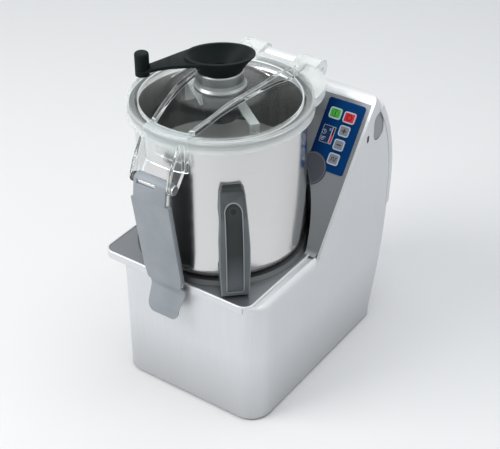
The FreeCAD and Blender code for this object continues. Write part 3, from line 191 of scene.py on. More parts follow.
# Display and badge prints, in mm, with offsets from the display's centre
DISPLAY_FROM_RIGHT = 43.5
DISPLAY_FROM_TOP = 52.5
DISPLAY_FRAMES = (
    # offset across, width, height, line, corner
    (-2.5, 15.0, 25.5, 0.5, 1.2),
    (7.5, 4.6, 25.5, 0.7, 0.9),
)
CLOCK_CENTRE = (-6.5, 2.5)
CLOCK_RING = (3.4, 2.8)
CLOCK_HANDS = ((-6.5, 4.6), (-4.9, 1.8))
CLOCK_LINE = 0.6
ROW_COUNT = 3
ROW_START = 8.5
ROW_END = 1.0
ROW_SHORTER = 1.5
ROW_TOP = 5.0
ROW_STEP = 2.2
ROW_LINE = 0.8
DASH_HEIGHTS = (8.5, 6.5)
DASH_SPAN = (0.5, 3.5)
DASH_LINE = 0.7
BAR_ACROSS = 7.5
BAR_WIDTH = 3.0
BARS = (
    # piece and finish, offset up, height
    ("display_bar_dark", "bar_dark", 5.8, 12.0),
    ("display_bar_red", "bar_red", -6.2, 11.6),
)
BADGE_FROM_RIGHT = 50.5
BADGE_FROM_TOP = 105.5
BADGE_RING = (22.6, 22.0)
BADGE_SIDES = 96

# Handle channel's border, in mm: height and radius along the handle's outer face
HANDLE_TURN = math.radians(-48.0)
HANDLE_FRONT = (
    (207, 151.7), (219, 153.8), (231, 155.0), (279, 155.0), (291, 154.1),
    (303, 152.3), (315, 150.5), (327, 147.5), (339, 141.0), (351, 134.2),
)
CHANNEL_HALF = 11.6
CHANNEL_LOW = 216.0
CHANNEL_HIGH = 334.5
CHANNEL_STEPS = 20
CHANNEL_ARC_STEPS = 16
BEAD_RADIUS = 0.8
BEAD_ROUNDING = 3

# Spring bar in the lever's slot: two corners in mm, its rounding in metres
SPRING_BAR_LOW = (-18.4, -160.0, 369.6)
SPRING_BAR_HIGH = (10.4, -156.6, 374.4)
SPRING_BAR_ROUND = 0.0006

# Rounded edges of the moulded parts: body, slot, finish, rounding in mm
SOFT_EDGES = {
    "bowl_handle": ("base", "handle_grey", "handle", 1.8),
    "handle_insert": ("base", "handle_dark", "handle_dark", 0.8),
    "latch_lever": ("latch", "latch_grey", "latch", 0.7),
    "latch_paddle": ("paddle", "latch_grey", "latch", 0.7),
    "crank_grip": ("grip", "crank_black", "crank", 0.8),
    "crank_arm": ("crank", "crank_black", "crank", 0.6),
    "lid_strap": ("lid", "clear_lid", "clear_strap", 0.6),
    "key_start": ("key_start", "key_green", "key_green", 0.4),
    "key_stop": ("key_stop", "key_red", "key_red", 0.4),
    "key_plus": ("key_plus", "key_grey", "key_grey", 0.4),
    "key_minus": ("key_minus", "key_grey", "key_grey", 0.4),
    "key_pulse": ("key_pulse", "key_grey", "key_grey", 0.4),
    "side_cap_right": ("base", "cap_grey", "cap", 0.5),
    "side_cap_left": ("base", "cap_grey", "cap", 0.5),
}
WELD_DISTANCE = 0.00001
FLAT_ANGLE = math.radians(1.0)
CORNER_ANGLE = math.radians(32.0)
ROUND_SEGMENTS = 3

FINISH = {
    "housing": ("housing_shell", "tower_shell", "rear_cover", "hinge_bracket", "base_plate"),
    "lip": ("deck_lip",),
    "bowl": ("bowl", "bowl_tube"),
    "polished": ("latch_pin", "hinge_pin", "paddle_pin",
                 "cover_screw_1", "cover_screw_2", "cover_screw_3", "cover_screw_4"),
    "neck": ("neck_ring",),
    "dark_steel": ("handle_screw",),
    "knife": ("blade_lower", "blade_upper", "motor_shaft", "motor_armature", "motor_stator"),
    "tray": ("deck_tray",),
    "seat": ("bowl_seat",),
    "latch": ("latch_lever", "latch_paddle"),
    "handle": ("bowl_handle",),
    "handle_dark": ("handle_insert",),
    "crank": ("crank_arm", "crank_grip", "scraper_hub", "rotor_hub"),
    "label": ("control_overlay",),
    "badge": ("panel_badge",),
    "key_green": ("key_start",),
    "key_red": ("key_stop",),
    "key_grey": ("key_plus", "key_minus", "key_pulse"),
    "display": ("display_window",),
    "rubber": ("foot_front_left", "foot_front_right", "foot_rear_left", "foot_rear_right"),
    "seal": ("lid_gasket", "shaft_seal"),
    "cap": ("side_cap_left", "side_cap_right"),
    "cast": ("motor_flange", "motor_housing"),
    "board": ("control_board",),
    "gland": ("cable_gland", "cooling_fan"),
    "clear": ("lid_panel",),
    "clear_strap": ("lid_strap",),
    "clear_scraper": ("scraper_arm_a", "scraper_arm_b"),
}


class Shader:
    """A Principled material with small helpers for its procedural inputs."""

    def __init__(self, name, color, metallic=0.0, roughness=0.5):
        self.material = bpy.data.materials.new(name)
        self.material.use_nodes = True
        self.tree = self.material.node_tree
        self.main = self.tree.nodes["Principled BSDF"]
        self.output = self.tree.nodes["Material Output"]
        self.set("Base Color", (*color, 1.0))
        self.set("Metallic", metallic)
        self.set("Roughness", roughness)

    def set(self, socket, value):
        self.main.inputs[socket].default_value = value

    def add(self, kind, **settings):
        node = self.tree.nodes.new(kind)
        for name, value in settings.items():
            setattr(node, name, value)
        return node

    def link(self, source, target):
        self.tree.links.new(source, target)

    def coordinates(self):
        return self.add("ShaderNodeTexCoord").outputs["Object"]

    def noise(self, scale, detail, stretch=(1.0, 1.0, 1.0)):
        mapping = self.add("ShaderNodeMapping")
        mapping.inputs["Scale"].default_value = stretch
        self.link(self.coordinates(), mapping.inputs["Vector"])
        node = self.add("ShaderNodeTexNoise")
        node.inputs["Scale"].default_value = scale
        node.inputs["Detail"].default_value = detail
        self.link(mapping.outputs["Vector"], node.inputs["Vector"])
        return node.outputs["Fac"]

    def axis(self, name):
        """One object coordinate, in metres."""
        split = self.add("ShaderNodeSeparateXYZ")
        self.link(self.coordinates(), split.inputs["Vector"])
        return split.outputs[name]

    def radius(self):
        """Distance from the bowl's axis, in metres."""
        x, y = self.axis("X"), self.axis("Y")
        squares = self.math("ADD", self.math("MULTIPLY", x, x), self.math("MULTIPLY", y, y))
        return self.math("SQRT", squares)

    def remap(self, value, span, result=(0.0, 1.0)):
        """Value that runs from one end of the result to the other over the span."""
        node = self.add("ShaderNodeMapRange")
        self.link(value, node.inputs["Value"])
        for socket, number in zip(("From Min", "From Max", "To Min", "To Max"), (*span, *result)):
            node.inputs[socket].default_value = number
        return node.outputs["Result"]

    def bevelled(self, reach):
        """Normal with corners rounded over a reach, in metres."""
        bevel = self.add("ShaderNodeBevel", samples=4)
        bevel.inputs["Radius"].default_value = reach
        return bevel.outputs["Normal"]

    def edges(self, reach, span):
        """Share that is 1 along sharp edges and 0 on flat stretches."""
        dot = self.add("ShaderNodeVectorMath", operation="DOT_PRODUCT")
        self.link(self.bevelled(reach), dot.inputs[0])
        self.link(self.add("ShaderNodeNewGeometry").outputs["Normal"], dot.inputs[1])
        return self.remap(dot.outputs["Value"], span, (1.0, 0.0))

    def facing(self, direction):
        """Share that is 1 where the surface faces a direction of the object's own frame."""
        dot = self.add("ShaderNodeVectorMath", operation="DOT_PRODUCT")
        self.link(self.add("ShaderNodeTexCoord").outputs["Normal"], dot.inputs[0])
        dot.inputs[1].default_value = direction
        return self.remap(dot.outputs["Value"], MIDDLE)

    def math(self, operation, *values):
        node = self.add("ShaderNodeMath", operation=operation)
        for socket, value in zip(node.inputs, values):
            if isinstance(value, float):
                socket.default_value = value
            else:
                self.link(value, socket)
        return node.outputs["Value"]

    def blend(self, share, first, second, kind="MIX"):
        """Colour between first and second by share."""
        node = self.add("ShaderNodeMix", data_type="RGBA", blend_type=kind)
        self.link(share, node.inputs["Factor"])
        targets = {socket.name: socket for socket in node.inputs if socket.type == "RGBA"}
        for name, value in (("A", first), ("B", second)):
            if isinstance(value, tuple):
                targets[name].default_value = (*value, 1.0)
            else:
                self.link(value, targets[name])
        return next(socket for socket in node.outputs if socket.type == "RGBA")

    def mix_shader(self, share, first, second):
        mix = self.add("ShaderNodeMixShader")
        for socket, source in zip(mix.inputs, (share, first, second)):
            self.link(source, socket)
        return mix.outputs["Shader"]

    def color(self, socket):
        self.link(socket, self.main.inputs["Base Color"])

    def roughness(self, socket):
        self.link(socket, self.main.inputs["Roughness"])

    def bump(self, height, distance, edge):
        """Height to normal, with sharp corners rounded over the edge, in metres."""
        node = self.add("ShaderNodeBump")
        node.inputs["Strength"].default_value = 1.0
        node.inputs["Distance"].default_value = distance
        self.link(height, node.inputs["Height"])
        self.link(self.bevelled(edge), node.inputs["Normal"])
        self.link(node.outputs["Normal"], self.main.inputs["Normal"])


def scaled(color, factor, lift=0.0):
    return tuple(min(1.0, part * factor + lift) for part in color)


def steel(name, color, roughness, grain, grain_depth=0.00002, edge=0.0008,
          spread=0.08, cloud=0.05, metallic=1.0, painted_foot_shade=None):
    """Brushed steel with clouds in its gloss; a foot shade, when given, is painted shade that
    darkens it toward the floor.
    """
    shader = Shader(name, color, metallic, roughness)
    lines = shader.noise(BRUSH_SCALE, BRUSH_DETAIL, grain)
    clouds = shader.noise(CLOUD_SCALE, CLOUD_DETAIL)
    gloss = shader.remap(lines, MIDDLE, (roughness - spread, roughness + spread))
    shader.roughness(shader.math("ADD", gloss, shader.remap(clouds, MIDDLE, (-cloud, cloud))))
    tone = shader.blend(shader.remap(lines, WIDE), scaled(color, BRUSH_DARK), color)
    # Painted shade: darker toward the floor
    if painted_foot_shade:
        near_floor = shader.remap(shader.axis("Z"), FOOT_ZONE)
        tone = shader.blend(near_floor, tone, (painted_foot_shade, painted_foot_shade, painted_foot_shade), "MULTIPLY")
    shader.color(tone)
    shader.bump(lines, grain_depth, edge)
    return shader.material


def moulded(name, color, roughness, texture=0.00003, edge=0.0006, spread=0.05, metallic=0.0,
            gloss=0.3, painted_highlight=0.0, painted_highlight_reach=0.0012, painted_shade=None, fade=None):
    """Moulded plastic: leather-like texture, slight variation in colour, painted highlights along
    edges and painted shade on faces turned one way.
    """
    shader = Shader(name, color, metallic, roughness)
    shader.set("Specular IOR Level", gloss)
    fine = shader.noise(LEATHER_SCALE, LEATHER_DETAIL)
    patches = shader.remap(shader.noise(PATCH_SCALE, PATCH_DETAIL), MIDDLE)
    shader.roughness(shader.remap(fine, MIDDLE, (roughness - spread, roughness + spread)))
    tone = shader.blend(patches, scaled(color, PATCH_DARK), scaled(color, PATCH_LIGHT))
    # Painted shade: faces turned toward one direction take a darker colour
    if painted_shade:
        away, painted_shade_color = painted_shade
        tone = shader.blend(shader.facing(away), tone, painted_shade_color)
    if fade:
        axis, span, color_far = fade
        tone = shader.blend(shader.remap(shader.axis(axis), span), tone, color_far)
    # Painted highlight: sharp edges take a lighter colour
    if painted_highlight:
        share = shader.math("MULTIPLY", shader.edges(painted_highlight_reach, PAINTED_HIGHLIGHT_EDGE), painted_highlight)
        tone = shader.blend(share, tone, scaled(color, PAINTED_HIGHLIGHT_GAIN, PAINTED_HIGHLIGHT_LIFT))
    shader.color(tone)
    shader.bump(fine, texture, edge)
    return shader.material


def film(name, color, roughness=0.45, **settings):
    """Printed film or ink, smoother than moulded plastic."""
    return moulded(name, color, roughness, FILM_TEXTURE, **settings)


def clear_plastic(name, tint, gloss, haze, edge=0.0009, painted_edge_sheen=0.75, zone=None):
    """Clear polycarbonate that lets lamps through, with painted highlights on its edges, a random
    haze and a zone of painted sheen.
    """
    shader = Shader(name, tint, 0.0, gloss)
    shader.set("Transmission Weight", 1.0)
    shader.set("IOR", CLEAR_IOR)
    shader.set("Specular IOR Level", CLEAR_SPECULAR)
    thin = shader.add("ShaderNodeBsdfTransparent")
    thin.inputs["Color"].default_value = SHADOW_TINT
    path = shader.add("ShaderNodeLightPath").outputs
    soft_rays = shader.math("MAXIMUM", path["Is Shadow Ray"], path["Is Diffuse Ray"])
    clear = shader.mix_shader(soft_rays, shader.main.outputs["BSDF"], thin.outputs["BSDF"])
    haze_and_sheen = shader.add("ShaderNodeBsdfPrincipled")
    haze_and_sheen.inputs["Base Color"].default_value = HAZE_AND_SHEEN_COLOR
    haze_and_sheen.inputs["Roughness"].default_value = HAZE_AND_SHEEN_ROUGHNESS
    # Painted highlight: milky white along sharp edges
    share = shader.math("MULTIPLY", shader.edges(edge, PAINTED_SHEEN_EDGE), painted_edge_sheen)
    hazes = tuple(haze * part for part in HAZE_SHARES)
    cloud = shader.remap(shader.noise(HAZE_SCALE, HAZE_DETAIL), MIDDLE, hazes)
    share = shader.math("MAXIMUM", share, cloud)
    if zone:
        share = shader.math("MAXIMUM", share, zone(shader))
    surface = shader.mix_shader(share, clear, haze_and_sheen.outputs["BSDF"])
    shader.link(surface, shader.output.inputs["Surface"])
    scratch = shader.noise(SCRATCH_SCALE, SCRATCH_DETAIL)
    shader.roughness(shader.remap(scratch, HIGH, (gloss * SCRATCH_GLOSS, gloss)))
    return shader.material


def lid_sheen_zone(shader):
    """Share of painted sheen on the lid: its flat band and skirt, the dome's foot and the two
    ribs.
    """
    radius = shader.radius()
    off = shader.math("ABSOLUTE", shader.math("SUBTRACT", radius, DOME_RADIUS + RING_OFFSET))
    ring = shader.remap(off, RING_WIDTH, (RING_PAINTED_SHEEN, 0.0))
    band_span = (DOME_RADIUS + BAND_START, DOME_RADIUS + BAND_END)
    skirt_span = (LID_RADIUS - SKIRT_START, LID_RADIUS - SKIRT_END)
    band = shader.remap(radius, band_span, (0.0, BAND_PAINTED_SHEEN))
    skirt = shader.remap(radius, skirt_span, (0.0, SKIRT_PAINTED_SHEEN))
    slope = shader.remap(radius, (KNEE_RADIUS, DOME_RADIUS), (KNEE_TOP, LID_TOP - DOME_STEP))
    crown = shader.remap(radius, (CROWN_RADIUS, KNEE_RADIUS), (CROWN_TOP, KNEE_TOP))
    dome = shader.math("MINIMUM", slope, crown)
    above = shader.math("SUBTRACT", shader.axis("Z"), dome)
    rib = shader.remap(above, RIB_RISE, (0.0, RIB_PAINTED_SHEEN))
    flat = shader.math("MAXIMUM", shader.math("ADD", band, skirt), ring)
    return shader.math("MAXIMUM", flat, rib)


def bowl_steel(name, color):
    """Drawn steel bowl: bright outside; inside, painted shade, dark with painted reflection
    streaks, lighter again low down.
    """
    shader = Shader(name, color, 1.0)
    lines = shader.noise(BRUSH_SCALE, BRUSH_DETAIL, ALONG)
    streaks = shader.remap(shader.noise(STREAK_SCALE, STREAK_DETAIL, STREAKS), NARROW)
    skin = (BOWL_RADIUS - INSIDE_END, BOWL_RADIUS - INSIDE_START)
    inside = shader.remap(shader.radius(), skin, (1.0, 0.0))
    level = (LEVEL_LINE - LEVEL_BLUR, LEVEL_LINE + LEVEL_BLUR)
    deep = shader.remap(shader.axis("Z"), level, (1.0, 0.0))
    # Painted shade inside, with painted reflection streaks, lighter below the level line
    shade = shader.blend(streaks, INSIDE_PAINTED_SHADE, INSIDE_PAINTED_STREAK)
    shade = shader.blend(shader.math("MULTIPLY", deep, LEVEL_SHARE), shade, LEVEL_COLOR)
    bright = shader.blend(shader.remap(lines, WIDE), scaled(color, BRUSH_DARK), color)
    shader.color(shader.blend(inside, bright, shade))
    gloss = shader.remap(lines, MIDDLE, BOWL_ROUGHNESS)
    dullness = shader.math("MULTIPLY", inside, INSIDE_DULLNESS)
    shader.roughness(shader.math("ADD", gloss, dullness))
    shader.bump(lines, BOWL_BRUSH_DEPTH, BOWL_EDGE)
    return shader.material


def make_materials():
    return {
        # Housing: painted shade darkens its lower part toward the floor
        "housing": steel("housing_steel", (0.72, 0.73, 0.745), 0.42, ACROSS, cloud=0.04,
                         metallic=0.7, painted_foot_shade=0.74),
        "lip": steel("lip_steel", (0.74, 0.75, 0.765), 0.36, ALONG, metallic=0.7),
        "bowl": bowl_steel("bowl_steel", (0.71, 0.71, 0.705)),
        "polished": steel("polished_steel", (0.70, 0.70, 0.70), 0.2, ALONG, 0.00001,
                          spread=0.04, cloud=0.02),
        "neck": steel("neck_steel", (0.30, 0.32, 0.32), 0.36, ALONG, spread=0.05, cloud=0.02),
        "knife": steel("knife_steel", (0.75, 0.76, 0.78), 0.2, KNIFE_GRAIN),
        "dark_steel": steel("dark_steel", (0.035, 0.038, 0.04), 0.4, ALONG),
        # Seat ring: darker than the tray, as painted shade at the bowl's foot
        "seat": steel("seat_metal_painted_shade", (0.11, 0.117, 0.122), 0.45, SIDEWAYS, metallic=0.8),
        "tray": steel("tray_metal", (0.235, 0.25, 0.265), 0.42, SIDEWAYS, cloud=0.04,
                      metallic=0.8),
        # Latch: painted shade on the side facing the bowl, painted highlights on its edges
        "latch": moulded("latch_plastic", (0.29, 0.315, 0.34), 0.42, painted_highlight=0.5,
                         painted_shade=((0.35, 0.94, 0.0), (0.03, 0.034, 0.036))),
        # Handle: painted shade on its top faces, painted highlights on its edges
        "handle": moulded("handle_plastic", (0.115, 0.130, 0.136), 0.42, painted_highlight=1.0,
                          painted_highlight_reach=0.003, painted_shade=((0.0, 0.0, 1.0), (0.02, 0.024, 0.025))),
        # Handle border: lighter colour is a painted highlight along the channel's edge
        "handle_painted_highlight": moulded("handle_border_painted_highlight", (0.27, 0.295, 0.30), 0.42),
        # Handle channel: painted highlight along its edges
        "handle_dark": moulded("handle_channel", (0.026, 0.031, 0.032), 0.5, painted_highlight=0.4,
                               fade=("Z", (0.275, 0.215), (0.12, 0.132, 0.145))),
        # Crank: faint painted highlight along its edges
        "crank": moulded("crank_plastic", (0.008, 0.012, 0.013), 0.5, spread=0.06,
                         gloss=0.09, painted_highlight=0.15),
        "rubber": moulded("foot_rubber", (0.012, 0.012, 0.012), 0.7),
        "seal": moulded("gasket_rubber", (0.20, 0.22, 0.22), 0.55),
        "cap": moulded("cap_plastic", (0.33, 0.35, 0.35), 0.5),
        "cast": moulded("cast_metal", (0.45, 0.46, 0.47), 0.5, 0.0001, metallic=0.8),
        "board": moulded("circuit_board", (0.01, 0.09, 0.04), 0.4),
        "gland": moulded("gland_plastic", (0.012, 0.012, 0.013), 0.5),
        "label": film("label_film", (0.0, 0.044, 0.175), 0.5, gloss=0.06,
                      fade=("X", (0.100, 0.074), (0.0, 0.012, 0.065))),
        "badge": film("badge_film", (0.082, 0.087, 0.105), gloss=0.2),
        "display": film("display_film", (0.0, 0.020, 0.085), 0.35),
        "key_green": film("key_green_film", (0.10, 0.50, 0.06)),
        "key_red": film("key_red_film", (0.68, 0.02, 0.03)),
        "key_grey": film("key_grey_film", (0.27, 0.27, 0.30)),
        "key_border": film("key_border_ink", (0.55, 0.68, 0.82)),
        "mark_green": film("green_mark_ink", (0.015, 0.16, 0.02)),
        "mark_red": film("red_mark_ink", (0.25, 0.0, 0.01)),
        "mark_dark": film("dark_mark_ink", (0.035, 0.035, 0.045)),
        "bar_dark": film("dark_bar_ink", (0.06, 0.0, 0.01), 0.4),
        "bar_red": film("red_bar_ink", (0.70, 0.03, 0.03), 0.4),
        # Lid: painted sheen on its edges and on its band, skirt, dome foot and ribs
        "clear": clear_plastic("clear_lid", (0.93, 0.945, 0.945), 0.05, 0.008, 0.0014, 0.9,
                               lid_sheen_zone),
        "clear_strap": clear_plastic("clear_strap", (0.97, 0.98, 0.98), 0.06, 0.07, 0.0012, 0.95),
        "clear_scraper": clear_plastic("clear_scraper", (0.97, 0.98, 0.98), 0.06, 0.28),
    }


def dress_nodes(materials):
    for finish, names in FINISH.items():
        for name in names:
            data = nodes[name].data
            data.materials.clear()
            data.materials.append(materials[finish])


def place_piece(piece, body):
    bpy.context.scene.collection.objects.link(piece)
    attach(piece, body)


def add_piece(mesh, name, body, material, smooth=False):
    data = bpy.data.meshes.new(name)
    mesh.to_mesh(data)
    mesh.free()
    data.materials.append(material)
    for face in data.polygons:
        face.use_smooth = smooth
    piece = bpy.data.objects.new(name, data)
    place_piece(piece, body)
    return piece


def build_soft_edges(materials):
    """Finer stand-ins for moulded parts, with rounded edges in the mesh itself."""
    for node, (body, slot, finish, width) in SOFT_EDGES.items():
        mesh = bmesh.new()
        mesh.from_mesh(nodes[node].data)
        bmesh.ops.remove_doubles(mesh, verts=mesh.verts, dist=WELD_DISTANCE)
        bmesh.ops.dissolve_limit(mesh, angle_limit=FLAT_ANGLE, verts=mesh.verts, edges=mesh.edges)
        piece = add_piece(mesh, node + "_rounded", body, materials[finish], smooth=True)
        bevel = piece.modifiers.new("edge_round", "BEVEL")
        bevel.width = width * MM
        bevel.segments = ROUND_SEGMENTS
        bevel.limit_method = "ANGLE"
        bevel.angle_limit = CORNER_ANGLE
        bevel.harden_normals = True
        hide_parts(node)


def build_slot_bar(materials):
    """Bright spring bar that shows in the lever's slot."""
    mesh = bmesh.new()
    bmesh.ops.create_cube(mesh, size=1.0)
    low = Vector(SPRING_BAR_LOW) * MM
    high = Vector(SPRING_BAR_HIGH) * MM
    for vert in mesh.verts:
        for i in range(3):
            vert.co[i] = low[i] if vert.co[i] < 0 else high[i]
    bmesh.ops.bevel(mesh, geom=list(mesh.edges), offset=SPRING_BAR_ROUND,
                    segments=ROUND_SEGMENTS, affect="EDGES", profile=0.5)
    add_piece(mesh, "latch_spring_bar", "latch", materials["polished"],
              smooth=True)


def handle_point(across, z):
    """Point on the handle's outer face, in mm across and up."""
    for (z0, r0), (z1, r1) in zip(HANDLE_FRONT, HANDLE_FRONT[1:]):
        if z <= z1:
            break
    radius = r0 + (r1 - r0) * (z - z0) / (z1 - z0)
    c, s = math.cos(HANDLE_TURN), math.sin(HANDLE_TURN)
    return Vector((radius * c - across * s, radius * s + across * c, z)) * MM


def build_handle_bead(materials):
    """Raised border round the handle's channel: up one side, over the top and down."""
    half = CHANNEL_HALF
    rise = CHANNEL_HIGH - CHANNEL_LOW
    points = []
    for i in range(CHANNEL_STEPS + 1):
        points.append(handle_point(-half, CHANNEL_LOW + rise * i / CHANNEL_STEPS))
    for i in range(1, CHANNEL_ARC_STEPS):
        turn = math.pi * i / CHANNEL_ARC_STEPS
        points.append(handle_point(-half * math.cos(turn), CHANNEL_HIGH + half * math.sin(turn)))
    for i in range(CHANNEL_STEPS + 1):
        points.append(handle_point(half, CHANNEL_HIGH - rise * i / CHANNEL_STEPS))
    curve = bpy.data.curves.new("handle_channel_border", "CURVE")
    curve.dimensions = "3D"
    curve.bevel_depth = BEAD_RADIUS * MM
    curve.bevel_resolution = BEAD_ROUNDING
    curve.use_fill_caps = True
    spline = curve.splines.new("NURBS")
    spline.points.add(len(points) - 1)
    for target, point in zip(spline.points, points):
        target.co = (*point, 1.0)
    spline.order_u = 3
    spline.use_endpoint_u = True
    # Painted highlight: the border takes a lighter colour
    curve.materials.append(materials["handle_painted_highlight"])
    piece = bpy.data.objects.new("handle_channel_border", curve)
    place_piece(piece, "base")


def face_point(x, s, n):
    """Point on the sloping face, from x across, s up the slope and n out of it, in mm."""
    y = FACE_START + s * math.sin(FACE_TILT) - n * math.cos(FACE_TILT)
    z = DECK + s * math.cos(FACE_TILT) + n * math.sin(FACE_TILT)
    return Vector((x, y, z)) * MM


def box_outline(x, s, wide, high, corner=0.0, steps=6):
    """Rounded rectangle round (x, s), anticlockwise."""
    half_x, half_s = wide / 2 - corner, high / 2 - corner
    points = []
    for turn, (sign_x, sign_s) in enumerate(((1, 1), (-1, 1), (-1, -1), (1, -1))):
        for step in range(steps + 1 if corner else 1):
            angle = (turn + (step / steps if corner else 0.0)) * math.pi / 2
            points.append((x + sign_x * half_x + corner * math.cos(angle),
                           s + sign_s * half_s + corner * math.sin(angle)))
    return points


def circle_outline(x, s, radius, count=40):
    angles = [i * math.tau / count for i in range(count)]
    return [(x + radius * math.cos(angle), s + radius * math.sin(angle)) for angle in angles]


class Decal:
    """Thin printed shapes on the sloping face, raised by a film's thickness."""

    def __init__(self, level):
        self.mesh = bmesh.new()
        self.low = level - PRINT_SINK
        self.high = level + PRINT_THICKNESS

    def row(self, outline, level):
        return [self.mesh.verts.new(face_point(x, s, level)) for x, s in outline]

    def solid(self, outline):
        low, high = self.row(outline, self.low), self.row(outline, self.high)
        self.mesh.faces.new(high)
        self.mesh.faces.new(low[::-1])
        for i in range(len(outline)):
            j = (i + 1) % len(outline)
            self.mesh.faces.new((low[i], low[j], high[j], high[i]))

    def ring(self, outer, inner):
        low_out, high_out = self.row(outer, self.low), self.row(outer, self.high)
        low_in, high_in = self.row(inner, self.low), self.row(inner, self.high)
        for i in range(len(outer)):
            j = (i + 1) % len(outer)
            self.mesh.faces.new((high_out[i], high_out[j], high_in[j], high_in[i]))
            self.mesh.faces.new((low_out[j], low_out[i], low_in[i], low_in[j]))
            self.mesh.faces.new((low_out[i], low_out[j], high_out[j], high_out[i]))
            self.mesh.faces.new((low_in[j], low_in[i], high_in[i], high_in[j]))

    def circle(self, x, s, radii, count=40):
        self.ring(*(circle_outline(x, s, radius, count) for radius in radii))

    def frame(self, x, s, wide, high, line, corner):
        self.ring(box_outline(x, s, wide, high, corner),
                  box_outline(x, s, wide - 2 * line, high - 2 * line, corner - line))

    def line(self, start, end, width):
        """Straight stroke from start to end."""
        along = Vector((end[0] - start[0], end[1] - start[1]))
        side = Vector((-along.y, along.x)).normalized() * width / 2
        self.solid([(start[0] - side.x, start[1] - side.y), (end[0] - side.x, end[1] - side.y),
                    (end[0] + side.x, end[1] + side.y), (start[0] + side.x, start[1] + side.y)])

    def finish(self, name, body, slot, material):
        bmesh.ops.recalc_face_normals(self.mesh, faces=self.mesh.faces)
        add_piece(self.mesh, name, body, material)


def key_symbol(decal, name, x, s):
    if name == "key_start":
        decal.solid(box_outline(x, s, *START_BAR))
        decal.circle(x, s, START_RING)
    elif name == "key_stop":
        decal.circle(x, s, STOP_RING)
    elif name == "key_plus":
        decal.solid(box_outline(x, s, *SIGN_BAR))
        decal.solid(box_outline(x, s + PLUS_ARM_OFFSET, *PLUS_ARM))
        decal.solid(box_outline(x, s - PLUS_ARM_OFFSET, *PLUS_ARM))
    elif name == "key_minus":
        decal.solid(box_outline(x, s, *SIGN_BAR))
    else:
        points = [(x + across, s + up) for across, up in PULSE_POINTS]
        for start, end in zip(points, points[1:]):
            decal.line(start, end, PULSE_LINE)


def build_key_prints(materials):
    for name, (from_right, from_top, wide, high) in KEYS.items():
        x, s = PANEL_RIGHT - from_right, PANEL_HIGH - from_top
        slot = KEY_SLOT.get(name, "key_grey")
        border = Decal(KEY_TOP)
        border.frame(x, s, wide - KEY_BORDER_GAP, high - KEY_BORDER_GAP,
                     KEY_BORDER_LINE, KEY_BORDER_CORNER)
        border.finish(name + "_border", name, slot, materials["key_border"])
        symbol = Decal(KEY_TOP)
        key_symbol(symbol, name, x, s)
        symbol.finish(name + "_symbol", name, slot, materials[KEY_MARK.get(name, "mark_dark")])


def build_panel_prints(materials):
    """Outlines and small signs on the display, and the badge's edge."""
    x, s = PANEL_RIGHT - DISPLAY_FROM_RIGHT, PANEL_HIGH - DISPLAY_FROM_TOP
    outline = Decal(FILM_TOP)
    for across, wide, high, line, corner in DISPLAY_FRAMES:
        outline.frame(x + across, s, wide, high, line, corner)
    clock_x, clock_s = x + CLOCK_CENTRE[0], s + CLOCK_CENTRE[1]
    outline.circle(clock_x, clock_s, CLOCK_RING)
    for across, up in CLOCK_HANDS:
        outline.line((clock_x, clock_s), (x + across, s + up), CLOCK_LINE)
    for row in range(ROW_COUNT):
        height = s - ROW_TOP - ROW_STEP * row
        end = x - ROW_END - ROW_SHORTER * row
        outline.line((x - ROW_START, height), (end, height), ROW_LINE)
    for up in DASH_HEIGHTS:
        outline.line((x + DASH_SPAN[0], s + up), (x + DASH_SPAN[1], s + up), DASH_LINE)
    outline.finish("display_outline", "base", "display_dark", materials["key_border"])
    for name, finish, up, high in BARS:
        bar = Decal(FILM_TOP)
        bar.solid(box_outline(x + BAR_ACROSS, s + up, BAR_WIDTH, high))
        bar.finish(name, "base", "display_dark", materials[finish])
    edge = Decal(BADGE_TOP)
    edge.circle(PANEL_RIGHT - BADGE_FROM_RIGHT, PANEL_HIGH - BADGE_FROM_TOP,
                BADGE_RING, BADGE_SIDES)
    edge.finish("badge_outline", "base", "badge_grey", materials["key_grey"])


def build_camera():
    data = bpy.data.cameras.new("camera")
    data.lens = CAMERA_LENS
    data.sensor_width = CAMERA_SENSOR
    data.clip_start = CAMERA_NEAR
    data.clip_end = CAMERA_FAR
    camera = bpy.data.objects.new("camera", data)
    bpy.context.scene.collection.objects.link(camera)
    aim = CAMERA_LOOK.to_track_quat("-Z", "Y").to_matrix().to_4x4()
    roll = Matrix.Rotation(CAMERA_ROLL, 4, "Z")
    camera.matrix_world = Matrix.Translation(CAMERA_PLACE) @ aim @ roll
    bpy.context.scene.camera = camera


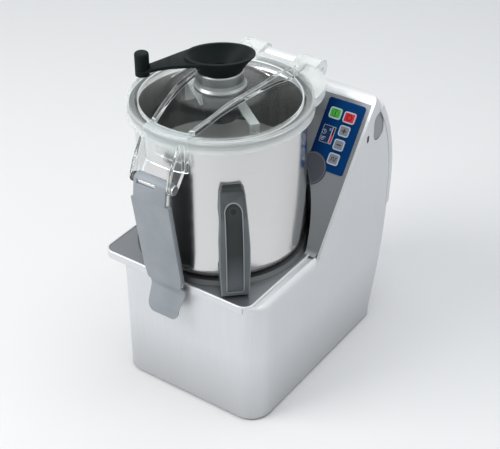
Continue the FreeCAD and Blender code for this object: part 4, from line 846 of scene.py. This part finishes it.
def build_floor():
    mesh = bpy.data.meshes.new("floor")
    corners = [(x * FLOOR_REACH, y * FLOOR_REACH, 0)
               for x, y in ((-1, -1), (1, -1), (1, 1), (-1, 1))]
    mesh.from_pydata(corners, [], [(0, 1, 2, 3)])
    mesh.materials.append(Shader("floor_paper", FLOOR_COLOR, 0.0, FLOOR_ROUGHNESS).material)
    floor = bpy.data.objects.new("floor", mesh)
    bpy.context.scene.collection.objects.link(floor)


def build_world():
    """Soft sky for the light, and plain white where the camera and clear rays look."""
    world = bpy.data.worlds.new("studio")
    bpy.context.scene.world = world
    world.use_nodes = True
    tree = world.node_tree
    tree.nodes.clear()
    backgrounds = []
    for color, strength in ((SKY_COLOR, SKY_STRENGTH), (SEEN_COLOR, SEEN_STRENGTH)):
        background = tree.nodes.new("ShaderNodeBackground")
        background.inputs["Color"].default_value = color
        background.inputs["Strength"].default_value = strength
        backgrounds.append(background.outputs["Background"])
    path = tree.nodes.new("ShaderNodeLightPath").outputs
    seen = path["Is Camera Ray"]
    for ray in ("Is Glossy Ray", "Is Transmission Ray"):
        either = tree.nodes.new("ShaderNodeMath")
        either.operation = "MAXIMUM"
        tree.links.new(seen, either.inputs[0])
        tree.links.new(path[ray], either.inputs[1])
        seen = either.outputs["Value"]
    mix = tree.nodes.new("ShaderNodeMixShader")
    for socket, source in zip(mix.inputs, (seen, *backgrounds)):
        tree.links.new(source, socket)
    output = tree.nodes.new("ShaderNodeOutputWorld")
    tree.links.new(mix.outputs["Shader"], output.inputs["Surface"])


def build_lamps():
    for name, place, target, size, power, color in LAMPS:
        data = bpy.data.lights.new(name, "AREA")
        data.shape = "RECTANGLE"
        data.size = size
        data.size_y = size
        data.energy = power
        data.color = color
        lamp = bpy.data.objects.new(name, data)
        bpy.context.scene.collection.objects.link(lamp)
        lamp.location = place
        aim = Vector(target) - Vector(place)
        lamp.rotation_euler = aim.to_track_quat("-Z", "Y").to_euler()


bpy.context.scene.view_settings.view_transform = "Standard"
build_camera()
build_floor()
build_world()
build_lamps()
materials = make_materials()
dress_nodes(materials)
build_soft_edges(materials)
build_slot_bar(materials)
build_handle_bead(materials)
build_key_prints(materials)
build_panel_prints(materials)
